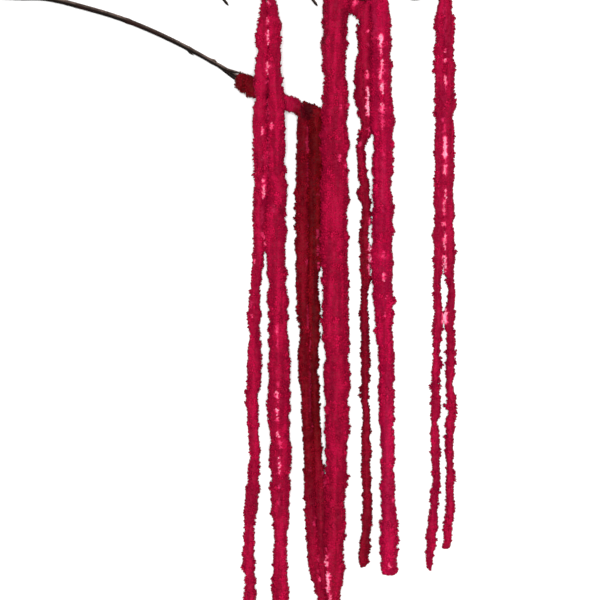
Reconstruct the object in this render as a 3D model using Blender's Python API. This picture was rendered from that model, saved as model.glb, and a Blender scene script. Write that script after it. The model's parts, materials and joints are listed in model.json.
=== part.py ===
"""A cut spray of amaranth laid flat on a table: a dark branching stem with nine long drooping seed tassels.

Routes and radii are written in millimetres and become metres in the scene. +X runs to the right, +Y towards
the stem's side of the spray and +Z up from the table. The origin is on the table, under the thickest tassel.
A tassel is a closed skin of rings round its centreline. Its seed clusters are relief: every other corner of
the skin stands out and leans towards the tip. A socket in its top takes the end of its stalk.
"""

import math
import random
from dataclasses import dataclass

import bmesh
import bpy
import numpy as np
from mathutils import Vector
from mathutils.geometry import normal

MM = 0.001

# Relief of the seed clusters, least and most: reach as a share of the tassel's radius, and lean towards the
# tip as a share of the distance between rings. The draw of the reach is raised to a power, so that few reach
# far. A cluster's turn round the tassel is a share of a side. In a bend all three are lessened, by this much
# for each radian that the tassel turns from one ring to the next.
CLUSTER_OUT = (1.03, 1.3)
HOLLOW_OUT = (0.82, 0.92)
CLUSTER_LEAN = (0.05, 0.6)
HOLLOW_LEAN = (-0.15, 0.15)
FEW_REACH_FAR = 1.6
CLUSTER_TURN = 0.2
CALM_IN_BENDS = 2.0

# A lying tassel: how high its centre is over its underside, as a share of its radius
LIE = 0.86
# Slow swelling along a tassel: share of the radius, and wavelength in mm
SWELLS = ((0.06, 43.0), (0.045, 19.0))
# Rounded end of a tassel, in radii, and how far its last point sinks towards the table
TIP_LENGTH = 1.8
TIP_SINK = 0.8

# Sockets and stalks, mm. A stalk's reach into its socket and its straight lead are shares of the depth.
SOCKET_DEPTH = 8.0
SOCKET_RADIUS = 2.2
STALK_RADIUS = 1.5
STALK_REACH = 0.86
STALK_LEAD = 0.4
STALK_SIDES = 6

# Where a neighbour presses: the gap left to it and the room round a stem in mm, and the least share of a
# corner's distance from the centreline that stays
PRESSED_GAP = 0.5
STEM_ROOM = 0.6
LEAST_KEPT = 0.25
NEIGHBOUR_STEP = 2.0

# Distance between the points of a smooth curve before it is resampled, mm
FINE_STEP = 0.25

# Stem bark: share of the radius that it varies by, and a node's rise and half length in mm
BARK = 0.05
NODE_SWELL = 0.35
NODE_REACH = 3.5

CRIMSON = (0.36, 0.006, 0.045, 1.0)
DARK_CRIMSON = (0.16, 0.003, 0.012, 1.0)
BARK_BROWN = (0.035, 0.022, 0.018, 1.0)


@dataclass(frozen=True)
class Tassel:
    """One seed tassel. Route rows are x, y, radius and the height of the underside over the table, in mm."""

    name: str
    colour: tuple
    sides: int
    ring_step: float
    seed: int
    stalk: tuple
    route: tuple


@dataclass(frozen=True)
class Shoot:
    """One round length of stem. Route rows are x, y, z, radius, and nodes are distances along it, in mm."""

    sides: int
    ring_step: float
    seed: int
    route: tuple
    nodes: tuple = ()
    pointed: bool = False


# Forks where the stalks leave the stem: x, y, z in mm
LEFT_FORK = (-63.0, 285.0, 10.0)
MIDDLE_FORK = (18.5, 276.5, 16.5)
RIGHT_FORK = (98.0, 281.5, 4.0)

TASSELS = (
    Tassel(
        "tassel_left_thin", CRIMSON, sides=8, ring_step=5.3, seed=11,
        stalk=(LEFT_FORK,),
        route=(
            (-67, 277.5, 3.2, 8), (-67, 266, 4.6, 10), (-66, 243, 5.5, 12), (-66.5, 212, 5.9, 16),
            (-67.5, 185, 6.5, 17.5), (-68.2, 153, 6.6, 14), (-67.8, 104, 6.3, 5), (-69.5, 52, 5.2, 0),
            (-73, 0, 5.5, 0), (-73.5, -45, 6.0, 0), (-75.5, -90, 5.8, 0), (-73, -135, 4.6, 0),
            (-76, -180, 6.1, 0), (-78.5, -212, 5.0, 0), (-79, -232, 5.4, 0), (-78, -252, 6.2, 0),
            (-77, -275, 5.9, 0), (-75.5, -299, 4.2, 0),
        ),
    ),
    Tassel(
        "tassel_left_thick", CRIMSON, sides=8, ring_step=5.9, seed=12,
        stalk=(LEFT_FORK,),
        route=(
            (-59, 277.5, 3.2, 8), (-57.5, 266, 4.9, 10), (-55.5, 243, 6.2, 12), (-54.5, 212, 6.6, 16),
            (-54, 185, 7.7, 17), (-53.5, 153, 8.0, 13), (-51.5, 100, 8.6, 4), (-54, 50, 8.2, 0),
            (-52.5, 0, 8.8, 0), (-51.5, -63, 9.8, 0), (-51.5, -108, 10.2, 0), (-50.5, -140, 9.6, 0),
            (-50.8, -180, 7.8, 0), (-49.8, -216, 6.5, 0), (-50.5, -250, 6.8, 0), (-50.5, -280, 6.2, 0),
            (-51.5, -315, 4.4, 0),
        ),
    ),
    Tassel(
        "tassel_dark_outer", DARK_CRIMSON, sides=8, ring_step=5.3, seed=13,
        stalk=((-100.0, 207.5, 6.5),),
        route=(
            (-88, 200, 3.2, 5.6), (-83, 196.5, 7.4, 4.0), (-76, 192, 8.5, 3.8), (-63, 186.5, 7.0, 4.0),
            (-50, 181.5, 6.2, 4.4), (-40, 176.5, 6.0, 5.4), (-32.5, 168, 5.7, 4.6), (-30, 155, 5.8, 1.6),
            (-30.5, 126, 5.9, 0), (-30.5, 45, 5.8, 0), (-30.3, -9, 5.9, 0), (-29.5, -45, 6.0, 0),
            (-26.3, -99, 5.2, 0), (-24.5, -135, 5.2, 0), (-23.4, -180, 5.4, 0), (-21.5, -216, 5.4, 0),
            (-20.3, -234, 5.2, 0), (-17.2, -252, 4.9, 0), (-14, -267, 4.0, 0), (-11.5, -282, 2.8, 0),
        ),
    ),
    Tassel(
        "tassel_dark_inner", DARK_CRIMSON, sides=8, ring_step=5.1, seed=14,
        stalk=((-106.0, 211.0, 4.0), (-90.0, 199.0, 1.8), (-62.0, 186.0, 1.5), (-43.0, 178.8, 1.5)),
        route=(
            (-31, 176.2, 3.1, 0.2), (-25.8, 174, 4.6, 0), (-21.0, 168.4, 5.5, 0), (-19.0, 158, 5.8, 0),
            (-19.4, 108, 5.8, 0), (-19.8, 45, 5.4, 0), (-20.5, 0, 4.9, 0), (-20.3, -45, 4.7, 0),
            (-18.0, -99, 4.0, 0), (-16.2, -135, 4.2, 0), (-14.4, -180, 4.6, 0), (-13.2, -216, 4.2, 0.6),
            (-12.6, -240, 3.8, 2.5), (-11.5, -262, 2.6, 3.5),
        ),
    ),
    Tassel(
        "tassel_main", CRIMSON, sides=10, ring_step=6.5, seed=62,
        stalk=(MIDDLE_FORK,),
        route=(
            (11.5, 279.5, 3.4, 7), (6.2, 276.8, 8.0, 3.2), (1.2, 269.5, 10.8, 1.0), (-0.8, 258, 11.5, 0.2),
            (-1, 243, 11.4, 0), (-1.2, 216, 11.6, 0), (-0.6, 171, 11.4, 0), (-0.6, 90, 11.3, 0),
            (-0.8, 30, 11.4, -1.6), (-0.5, 0, 11.6, -2), (0.3, -45, 11.4, -1.4), (0.6, -90, 11.2, 0),
            (0.2, -135, 10.2, 0), (-0.8, -180, 9.8, 0), (-1.4, -216, 9.2, 0), (-2.2, -250, 8.0, 0),
            (-2.6, -272, 6.4, 0), (-3.2, -305, 3.4, 0),
        ),
    ),
    Tassel(
        "tassel_middle_thin", DARK_CRIMSON, sides=8, ring_step=4.9, seed=16,
        stalk=(MIDDLE_FORK,),
        route=(
            (16, 271.5, 3.1, 6.6), (16, 264.8, 6.2, 2.6), (21.8, 256.8, 6.2, 1), (25, 246, 6.4, 0),
            (25.2, 230, 6.4, 0), (24.8, 207, 6.7, 0), (23.6, 182, 6.8, 0), (25, 157, 5.0, 0),
            (25, 121, 4.8, 0), (25.2, 54, 4.6, 0), (25.5, 0, 3.6, 0), (26.3, -45, 4.2, 0),
            (26, -90, 4.2, 0), (26, -135, 4.2, 0), (28.2, -180, 4.4, 0), (26.5, -212, 4.6, 0),
            (24, -228, 4.0, 0), (23.4, -243, 3.6, 0),
        ),
    ),
    Tassel(
        "tassel_middle_thick", CRIMSON, sides=8, ring_step=5.9, seed=27,
        stalk=(MIDDLE_FORK, (23.0, 272.5, 13.5)),
        route=(
            (28, 271.2, 3.3, 6.8), (33.2, 272.3, 5.2, 4.0), (38.6, 269.6, 7.1, 1.6), (40.9, 259.5, 8.5, 0.2),
            (40.8, 245, 9.3, 0), (40.8, 207, 9.4, 0), (41.9, 153, 9.6, 0), (41.5, 90, 9.4, 0),
            (41.5, 36, 9.4, 0), (42.5, 0, 8.8, 0), (43.8, -27, 7.4, 0), (45, -54, 6.7, 0),
            (46, -90, 6.4, 0), (46.5, -135, 6.2, 0), (46.5, -170, 6.6, 0), (47, -205, 7.6, 0),
            (47.2, -230, 7.8, 0), (46.8, -250, 7.2, 0),
        ),
    ),
    Tassel(
        "tassel_right_long", CRIMSON, sides=8, ring_step=5.0, seed=18,
        stalk=(RIGHT_FORK,),
        route=(
            (94.5, 275.5, 3.0, 1.5), (93.6, 265, 4.4, 0.5), (92.8, 250, 4.8, 0), (92.8, 216, 4.8, 0),
            (93.4, 171, 4.8, 0), (92.8, 108, 5.0, 0), (92.4, 54, 4.8, 0), (91.2, 0, 3.8, 0),
            (91, -45, 4.2, 0), (89.6, -90, 4.4, 0), (89.5, -126, 4.4, 0), (88.2, -180, 4.6, 0),
            (85.2, -216, 4.4, 0), (84, -232, 3.6, 0), (84.8, -246, 3.4, 0),
        ),
    ),
    Tassel(
        "tassel_right_short", CRIMSON, sides=8, ring_step=5.0, seed=19,
        stalk=(RIGHT_FORK,),
        route=(
            (102, 275.5, 3.0, 1.5), (102.2, 265, 4.4, 0.5), (101.8, 250, 4.8, 0), (102, 198, 4.9, 0),
            (101.8, 126, 4.8, 0), (101.6, 45, 4.8, 0), (102.6, 0, 3.8, 0), (102.8, -45, 4.8, 0),
            (103.2, -90, 4.8, 0), (103, -108, 4.6, 0), (102.2, -150, 3.8, 0), (102.4, -180, 4.2, 0),
            (101, -207, 4.2, 0), (98.6, -226, 3.2, 0),
        ),
    ),
)

MAIN_STEM = Shoot(
    sides=8, ring_step=13.0, seed=31, nodes=(62.0, 139.0, 282.0, 389.0),
    route=(
        (-409, 184, 3.4, 3.6), (-374, 232, 3.4, 3.4), (-340, 260, 3.6, 3.2), (-307, 273.5, 4.0, 3.0),
        (-275, 284.5, 3.6, 2.7), (-230, 298, 3.2, 2.5), (-176, 308, 3.0, 2.4), (-122, 314.5, 3.0, 2.3),
        (-67, 316, 3.2, 2.2), (-14, 309.5, 4.0, 2.1), (29, 293, 4.5, 2.0), (53, 278.5, 4.2, 1.9),
        (69, 271.5, 3.6, 1.8), (85, 274.5, 3.6, 1.8), (98, 281.5, 4.0, 1.8),
    ),
)
LOW_TWIG = Shoot(
    sides=6, ring_step=11.0, seed=32, nodes=(123.0, 184.0, 207.0),
    route=(
        (-307, 273.5, 4.0, 2.9), (-284, 272, 4.2, 2.5), (-261, 271.2, 4.6, 2.4), (-248, 268.7, 4.8, 2.4),
        (-234, 265, 5.0, 2.4), (-191, 252, 5.6, 2.3), (-149, 234, 6.2, 2.2), (-115, 216, 6.6, 2.0),
        (-95, 204.5, 7.2, 1.9),
    ),
)
LEFT_TWIG = Shoot(
    sides=6, ring_step=12.0, seed=33,
    route=(
        (-167, 309, 3.2, 2.1), (-127, 308.5, 4.5, 2.0), (-94, 303, 6.5, 1.9), (-74, 294, 8.5, 1.8),
        (*LEFT_FORK, 1.8),
    ),
)
MIDDLE_TWIG = Shoot(
    sides=6, ring_step=12.0, seed=34,
    route=((-61, 316, 3.2, 2.1), (-28, 308.5, 7.0, 2.0), (0, 294, 13.5, 1.9), (*MIDDLE_FORK, 1.9)),
)
LEFT_STUB = Shoot(
    sides=6, ring_step=14.0, seed=35, pointed=True,
    route=((-135, 308.5, 4.2, 1.6), (-116, 288, 4.6, 1.5), (-96.5, 264.5, 5.0, 1.2)),
)
MIDDLE_STUB = Shoot(
    sides=6, ring_step=14.0, seed=36, pointed=True,
    route=((-46, 313.5, 4.6, 1.6), (-34, 288, 4.8, 1.5), (-16.5, 264, 5.0, 1.2)),
)
# Scars of shed leaves on the low twig, as short pointed spurs
LEAF_SCARS = (
    Shoot(
        sides=5, ring_step=3.0, seed=37, pointed=True,
        route=((-134, 226.5, 6.2, 1.0), (-131.5, 222.5, 6.0, 0.9), (-127.5, 219.8, 5.8, 0.5)),
    ),
    Shoot(
        sides=5, ring_step=3.0, seed=38, pointed=True,
        route=((-114, 215.8, 6.6, 1.3), (-111, 216.8, 7.4, 1.2), (-107.5, 216.2, 8.0, 0.6)),
    ),
)
SHOOTS = (MAIN_STEM, LOW_TWIG, LEFT_TWIG, MIDDLE_TWIG, LEFT_STUB, MIDDLE_STUB, *LEAF_SCARS)


def clear_scene():
    """Removes every object that the file opened with."""
    for obj in list(bpy.data.objects):
        bpy.data.objects.remove(obj)


def make_material(name, colour, roughness):
    """A plain Principled material."""
    material = bpy.data.materials.new(name)
    material.use_nodes = True
    shader = material.node_tree.nodes["Principled BSDF"]
    shader.inputs["Base Color"].default_value = colour
    shader.inputs["Roughness"].default_value = roughness
    shader.inputs["Metallic"].default_value = 0.0
    return material


def smooth_curve(route):
    """Close rows along the smooth curve through the route's rows, and each one's distance along it in mm."""
    rows = np.array(route, float)
    spans = np.linalg.norm(np.diff(rows[:, :3], axis=0), axis=1)
    slopes = np.diff(rows, axis=0) / spans[:, None]
    tangents = np.empty_like(rows)
    tangents[0], tangents[-1] = slopes[0], slopes[-1]
    before, after = spans[:-1, None], spans[1:, None]
    tangents[1:-1] = (slopes[:-1] * after + slopes[1:] * before) / (before + after)
    dense = []
    for i, span in enumerate(spans):
        t = np.arange(0, span, FINE_STEP)[:, None] / span
        dense.append(
            (2 * t**3 - 3 * t**2 + 1) * rows[i]
            + (t**3 - 2 * t**2 + t) * span * tangents[i]
            + (3 * t**2 - 2 * t**3) * rows[i + 1]
            + (t**3 - t**2) * span * tangents[i + 1]
        )
    dense = np.vstack([*dense, rows[-1:]])
    return dense, np.concatenate([[0], np.cumsum(np.linalg.norm(np.diff(dense[:, :3], axis=0), axis=1))])


def rows_at(curve, places):
    """The curve's rows at those distances along it."""
    dense, along = curve
    return np.stack([np.interp(places, along, column) for column in dense.T], axis=1)


def even_places(curve, step):
    """Distances along the curve from end to end, about a step apart."""
    length = curve[1][-1]
    return np.linspace(0, length, max(2, round(length / step)) + 1)


def frames_along(points):
    """Tangent, sideways and upward directions at each point of a line that never runs straight up."""
    tangents = np.gradient(points, axis=0)
    tangents /= np.linalg.norm(tangents, axis=1)[:, None]
    sideways = np.cross(tangents, (0.0, 0.0, 1.0))
    sideways /= np.linalg.norm(sideways, axis=1)[:, None]
    return tangents, sideways, np.cross(sideways, tangents)


def tassel_line(tassel, step):
    """The tassel's centreline as rows of x, y, z, radius in mm, and how far apart they are."""
    curve = smooth_curve([(x, y, lift + LIE * radius, radius) for x, y, radius, lift in tassel.route])
    places = even_places(curve, step)
    return rows_at(curve, places), places[1]


def stalk_shoot(tassel):
    """The stalk from the stem's fork into the tassel's socket. Inside the socket it runs straight."""
    line, _ = tassel_line(tassel, SOCKET_DEPTH)
    mouth, inward = line[0, :3], line[1, :3] - line[0, :3]
    straight = [mouth + inward * share for share in (-STALK_LEAD, 0.0, STALK_REACH)]
    route = tuple((*point, STALK_RADIUS) for point in (*tassel.stalk, *straight))
    return Shoot(STALK_SIDES, SOCKET_DEPTH * STALK_REACH, tassel.seed, route)


def face_outwards(bm):
    """Turns a closed mesh whose faces all agree so that they point out of its solid."""
    if bm.calc_volume(signed=True) < 0:
        bmesh.ops.reverse_faces(bm, faces=bm.faces)


def high_fold_lies_flat(halves):
    """Whether the corners that two triangles share lie on the table and neither triangle covers the other."""
    first, second = halves
    if any(corner.co.z > 0 for corner in first if corner in second):
        return False
    return normal([v.co for v in first]).dot(normal([v.co for v in second])) > 0


def skin(bm, rings, first_pole, last_pole, alternate_from):
    """Joins rings of corners into one closed skin with a point at each end. From ring alternate_from on, each
    four-sided face is folded along its sunken corners, or its raised ones where they can lie on the table."""
    loops = [[bm.verts.new(Vector(p) * MM) for p in ring] for ring in rings]
    sides = len(loops[0])
    start, end = bm.verts.new(Vector(first_pole) * MM), bm.verts.new(Vector(last_pole) * MM)
    for j in range(sides):
        k = (j + 1) % sides
        bm.faces.new((start, loops[0][k], loops[0][j]))
        bm.faces.new((end, loops[-1][j], loops[-1][k]))
    for i in range(len(loops) - 1):
        for j in range(sides):
            k = (j + 1) % sides
            a, b, c, d = loops[i][j], loops[i][k], loops[i + 1][k], loops[i + 1][j]
            halves = ((a, b, c), (a, c, d)), ((a, b, d), (b, c, d))
            high, low = halves if is_raised(i - alternate_from, j) else halves[::-1]
            lies_flat = i >= alternate_from and high_fold_lies_flat(high)
            for corners in high if lies_flat else low:
                bm.faces.new(corners)
    face_outwards(bm)


def between(ends, share):
    """The value that lies that share of the way between two ends."""
    return ends[0] + (ends[1] - ends[0]) * share


def is_raised(ring, side):
    """Whether that corner of the skin carries a seed cluster."""
    return (ring + side) % 2 == 0


def stem_obstacles():
    """Centre points and radii of every stem, twig and stalk, for the tassels to keep clear of."""
    shoots = [*SHOOTS, *(stalk_shoot(tassel) for tassel in TASSELS)]
    curves = [smooth_curve(shoot.route) for shoot in shoots]
    rows = np.vstack([rows_at(curve, even_places(curve, NEIGHBOUR_STEP)) for curve in curves])
    rows[:, 3] += STEM_ROOM
    return rows


def pressed_in(corners, centres, radii, obstacles):
    """Corners moved towards their centres where a neighbour presses on them. Between two round bodies the
    border is the flat plane through their crossing, so tassels that lie together flatten on each other."""
    outward = corners - centres
    away = obstacles[None, :, :3] - centres[:, None, :]
    distance = np.linalg.norm(away, axis=2)
    facing = np.einsum("ij,ikj->ik", outward, away)
    room = distance**2 + radii[:, None] ** 2 - obstacles[None, :, 3] ** 2 - PRESSED_GAP * distance
    share = np.divide(room, 2 * facing, out=np.ones_like(room), where=facing > 0)
    return centres + outward * np.clip(share.min(axis=1), LEAST_KEPT, 1.0)[:, None]


def relief(draw, raised, straight):
    """A corner's reach out, its lean towards the tip and its turn round the tassel, all less in a bend."""
    if raised:
        reach = between(CLUSTER_OUT, draw.random() ** FEW_REACH_FAR)
        lean = between(CLUSTER_LEAN, draw.random())
    else:
        reach = between(HOLLOW_OUT, draw.random())
        lean = between(HOLLOW_LEAN, draw.random())
    turn = draw.uniform(-CLUSTER_TURN, CLUSTER_TURN)
    return 1 + (reach - 1) * straight, lean * straight, turn * straight


def tassel_rings(tassel, obstacles):
    """The tassel's rings of corners from its mouth to its tip, and the tip itself, in mm."""
    draw = random.Random(tassel.seed)
    line, step = tassel_line(tassel, tassel.ring_step)
    tangents, sideways, upward = frames_along(line[:, :3])
    bends = np.linalg.norm(np.gradient(tangents, axis=0), axis=1)
    straight = np.maximum(0, 1 - CALM_IN_BENDS * bends)
    straight[0] = 0
    length = step * (len(line) - 1)
    phases = [draw.uniform(0, math.tau) for _ in SWELLS]
    rings, centres, radii = [], [], []
    for i in range(len(line) - 1):
        along = i * step
        radius = line[i, 3]
        swell = sum(size * math.sin(math.tau * along / wave + p) for (size, wave), p in zip(SWELLS, phases))
        radius *= 1 + swell
        past = (along - length) / (TIP_LENGTH * radius) + 1
        radius *= math.sqrt(1 - past**2) if past > 0 else 1
        for j in range(tassel.sides):
            reach, lean, turn = relief(draw, is_raised(i, j), straight[i])
            angle = math.tau * (j + turn) / tassel.sides - math.pi / 2
            outward = math.cos(angle) * sideways[i] + math.sin(angle) * upward[i]
            centre = line[i, :3] + tangents[i] * lean * step
            rings.append(centre + radius * reach * outward)
            centres.append(centre)
            radii.append(line[i, 3])
    corners = pressed_in(np.array(rings), np.array(centres), np.array(radii), obstacles)
    corners[:, 2] = np.maximum(corners[:, 2], 0)
    tip = line[-1, :3] * (1, 1, TIP_SINK)
    return corners.reshape(-1, tassel.sides, 3), tip


def socket_rings(tassel):
    """The socket's floor and mouth rings, and the middle of its floor, in mm."""
    line, _ = tassel_line(tassel, SOCKET_DEPTH)
    _, sideways, upward = frames_along(line[:2, :3])
    angles = [math.tau * j / tassel.sides - math.pi / 2 for j in range(tassel.sides)]
    floor, mouth = (
        [line[i, :3] + SOCKET_RADIUS * (math.cos(a) * sideways[i] + math.sin(a) * upward[i]) for a in angles]
        for i in (1, 0)
    )
    return (floor, mouth), line[1, :3]


def build_tassel(tassel, lines, stems):
    """One tassel as a closed solid of its own."""
    neighbours = [rows for name, rows in lines.items() if name != tassel.name]
    corners, tip = tassel_rings(tassel, np.vstack([*neighbours, stems]))
    socket, floor = socket_rings(tassel)
    bm = bmesh.new()
    skin(bm, [*socket, *corners], floor, tip, alternate_from=len(socket))
    mesh = bpy.data.meshes.new(tassel.name)
    bm.to_mesh(mesh)
    bm.free()
    obj = bpy.data.objects.new(tassel.name, mesh)
    bpy.context.scene.collection.objects.link(obj)
    return obj


def shoot_places(shoot, curve):
    """Distances along the shoot of its rings: evenly, and before, on and after each node."""
    even = even_places(curve, shoot.ring_step)
    at_nodes = [node + side * NODE_REACH for node in shoot.nodes for side in (-1, 0, 1)]
    clear = [place for place in even if all(abs(place - other) > NODE_REACH / 2 for other in at_nodes)]
    return sorted([*clear, *at_nodes])


def build_shoot(name, shoot, collection):
    """One round length of stem, closed by a flat face at its root and a flat face or a point at its end."""
    draw = random.Random(shoot.seed)
    curve = smooth_curve(shoot.route)
    places = shoot_places(shoot, curve)
    line = rows_at(curve, places)
    _, sideways, upward = frames_along(line[:, :3])
    bm = bmesh.new()
    loops = []
    for i, row in enumerate(line):
        near = max((1 - abs(places[i] - node) / NODE_REACH for node in shoot.nodes), default=0)
        radius = row[3] * (1 + NODE_SWELL * max(0, near))
        ring = []
        for j in range(shoot.sides):
            angle = math.tau * j / shoot.sides - math.pi / 2
            out = radius * (1 + draw.uniform(-BARK, BARK))
            place = row[:3] + out * (math.cos(angle) * sideways[i] + math.sin(angle) * upward[i])
            place[2] = max(place[2], 0)
            ring.append(bm.verts.new(Vector(place) * MM))
        loops.append(ring)
    for first, second in zip(loops, loops[1:]):
        for j in range(shoot.sides):
            k = (j + 1) % shoot.sides
            bm.faces.new((first[j], first[k], second[k], second[j]))
    bm.faces.new(loops[0])
    if shoot.pointed:
        bmesh.ops.pointmerge(bm, verts=loops[-1], merge_co=Vector(line[-1, :3]) * MM)
    else:
        bm.faces.new(loops[-1])
    bmesh.ops.recalc_face_normals(bm, faces=bm.faces)
    face_outwards(bm)
    mesh = bpy.data.meshes.new(name)
    bm.to_mesh(mesh)
    bm.free()
    obj = bpy.data.objects.new(name, mesh)
    collection.objects.link(obj)
    return obj


def build_stem():
    """The main stem with its twigs, stubs, leaf scars and stalks, grown as one body."""
    stem = build_shoot("stem", MAIN_STEM, bpy.context.scene.collection)
    side_shoots = bpy.data.collections.new("side_shoots")
    bpy.context.scene.collection.children.link(side_shoots)
    for number, shoot in enumerate([*SHOOTS[1:], *(stalk_shoot(tassel) for tassel in TASSELS)]):
        build_shoot(f"side_shoot_{number}", shoot, side_shoots)
    union = stem.modifiers.new("grown_together", "BOOLEAN")
    union.operation = "UNION"
    union.operand_type = "COLLECTION"
    union.collection = side_shoots
    union.solver = "EXACT"
    union.use_self = True
    graph = bpy.context.evaluated_depsgraph_get()
    joined = bpy.data.meshes.new_from_object(stem.evaluated_get(graph))
    joined.shade_smooth()
    stem.modifiers.clear()
    stem.data = joined
    for obj in list(side_shoots.objects):
        bpy.data.objects.remove(obj)
    bpy.data.collections.remove(side_shoots)
    return stem


def build_spray():
    """Builds every piece with its material."""
    clear_scene()
    lines = {tassel.name: tassel_line(tassel, NEIGHBOUR_STEP)[0] for tassel in TASSELS}
    stems = stem_obstacles()
    florets = {
        CRIMSON: make_material("crimson_florets", CRIMSON, 0.6),
        DARK_CRIMSON: make_material("dark_crimson_florets", DARK_CRIMSON, 0.65),
    }
    for tassel in TASSELS:
        build_tassel(tassel, lines, stems).data.materials.append(florets[tassel.colour])
    build_stem().data.materials.append(make_material("bark", BARK_BROWN, 0.55))


build_spray()
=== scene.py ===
"""The looks of a dried spray of drooping amaranth that lies on a pale table.

Each tassel is a lumpy core, taken from its solid, under a cover of small pointed florets in round
clusters. The stem is drawn again as ridged bark. Routes and sizes are in millimetres and become metres
in the meshes. +X runs to the right, +Y towards the stem's side of the spray, and +Z up from the table.
"""

import json
import logging
import math
from collections.abc import Iterable, Mapping
from dataclasses import dataclass
from enum import Enum

import bmesh
import bpy
import numpy as np
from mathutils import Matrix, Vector
from mathutils.bvhtree import BVHTree
from mathutils.noise import noise

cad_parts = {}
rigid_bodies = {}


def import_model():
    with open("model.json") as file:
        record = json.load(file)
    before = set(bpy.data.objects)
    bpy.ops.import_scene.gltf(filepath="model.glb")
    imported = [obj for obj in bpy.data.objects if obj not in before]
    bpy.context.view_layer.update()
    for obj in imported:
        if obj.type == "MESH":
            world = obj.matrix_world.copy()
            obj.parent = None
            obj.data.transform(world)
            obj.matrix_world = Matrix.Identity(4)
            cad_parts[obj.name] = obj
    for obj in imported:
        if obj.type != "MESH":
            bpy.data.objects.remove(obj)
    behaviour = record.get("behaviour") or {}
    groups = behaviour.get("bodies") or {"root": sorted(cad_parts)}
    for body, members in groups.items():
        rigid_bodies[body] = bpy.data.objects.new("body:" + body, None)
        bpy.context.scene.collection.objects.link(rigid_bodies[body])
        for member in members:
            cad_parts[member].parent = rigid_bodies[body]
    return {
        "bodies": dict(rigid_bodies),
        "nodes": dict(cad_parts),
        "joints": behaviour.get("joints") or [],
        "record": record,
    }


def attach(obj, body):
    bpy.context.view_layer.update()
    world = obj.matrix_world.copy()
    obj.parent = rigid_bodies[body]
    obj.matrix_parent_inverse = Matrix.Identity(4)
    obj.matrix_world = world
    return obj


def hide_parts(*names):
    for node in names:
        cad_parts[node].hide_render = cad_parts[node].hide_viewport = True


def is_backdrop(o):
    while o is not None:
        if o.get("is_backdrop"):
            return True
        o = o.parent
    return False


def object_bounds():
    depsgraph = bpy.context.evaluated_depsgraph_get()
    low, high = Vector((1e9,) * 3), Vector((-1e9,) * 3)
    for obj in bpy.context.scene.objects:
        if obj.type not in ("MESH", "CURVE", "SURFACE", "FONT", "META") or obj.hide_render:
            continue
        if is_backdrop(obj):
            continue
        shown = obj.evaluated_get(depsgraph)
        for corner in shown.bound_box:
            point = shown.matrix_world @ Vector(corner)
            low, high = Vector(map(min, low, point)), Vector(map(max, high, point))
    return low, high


LOG = logging.getLogger("amaranth")

MM = 0.001
BODY = "root"
GOLDEN_ANGLE = math.pi * (3 - math.sqrt(5))

# Distance between the points of a smooth curve, and points this near are one point, mm
FINE_STEP = 0.5
MERGE = 0.001
# A lying tassel: how high its centre is over its underside, as a share of its radius
LIE = 0.86
# The socket that the stalk goes into: its length and radius, with a little to spare, mm
SOCKET_DEPTH = 8.0
SOCKET_RADIUS = 2.25
# Tassels nearer to each other than the first distance press together, and from the second not at all, mm
PRESSED = 2.2
FREE = 4.4
# How far past the middle of the space two pressed tassels bulge, mm
BULGE = 0.35
# A core's relief before it is smoothed: gain on the solid's, the most it counts, and swelling, in radii
RELIEF_GAIN = 0.5
MOST_RELIEF = 0.3
CORE_SWELL = 0.09
# The least x, y and z that a piece's points may have, which keeps them above the table, in metres
LOWEST_CORNER = (-1.0, -1.0, 0.0)

Row = tuple[float, float, float, float]
FleckRow = tuple[float, float, float, float, float]
NudgeRow = tuple[float, float, float, float, float, float]
Colour = tuple[float, float, float]
# A mask's run: where it starts and ends, and at times what it gives there in place of 0 and 1
Ramp = tuple[float, ...]
Socket = bpy.types.NodeSocket
Inputs = Mapping[str | int, object]

# What a tassel's mesh holds only while it is made
SPENT_ATTRIBUTES = (
    "root", "cluster_frame", "cluster_size", "cluster_height", "cluster_tone", "tipward", "pressed", "id",
)

# Forks where the stalks leave the stem: x, y, z in mm
LEFT_FORK = (-63.0, 285.0, 10.0)
MIDDLE_FORK = (18.5, 276.5, 16.5)
RIGHT_FORK = (98.0, 281.5, 4.0)


class Slot(Enum):
    """The record's names for the finishes that a setting may repaint."""

    CRIMSON = "crimson_florets"
    DARK = "dark_florets"
    STEM = "dry_stem"


def linear(red: int, green: int, blue: int) -> Colour:
    """The scene-linear colour of a screen colour.

    Args:
        red: Red from 0 to 255, as a screen shows it.
        green: Green from 0 to 255.
        blue: Blue from 0 to 255.

    Returns:
        The three linear values, from 0 to 1.
    """
    shares = (value / 255 for value in (red, green, blue))
    return tuple(s / 12.92 if s <= 0.04045 else ((s + 0.055) / 1.055) ** 2.4 for s in shares)


def opaque(colour: Colour) -> tuple[float, ...]:
    """A colour with full alpha, as the nodes take it."""
    return (*colour, 1.0)


def eased(share: float | np.ndarray) -> float | np.ndarray:
    """A share from 0 to 1, with a soft start and a soft end."""
    return share * share * (3 - 2 * share)


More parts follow.
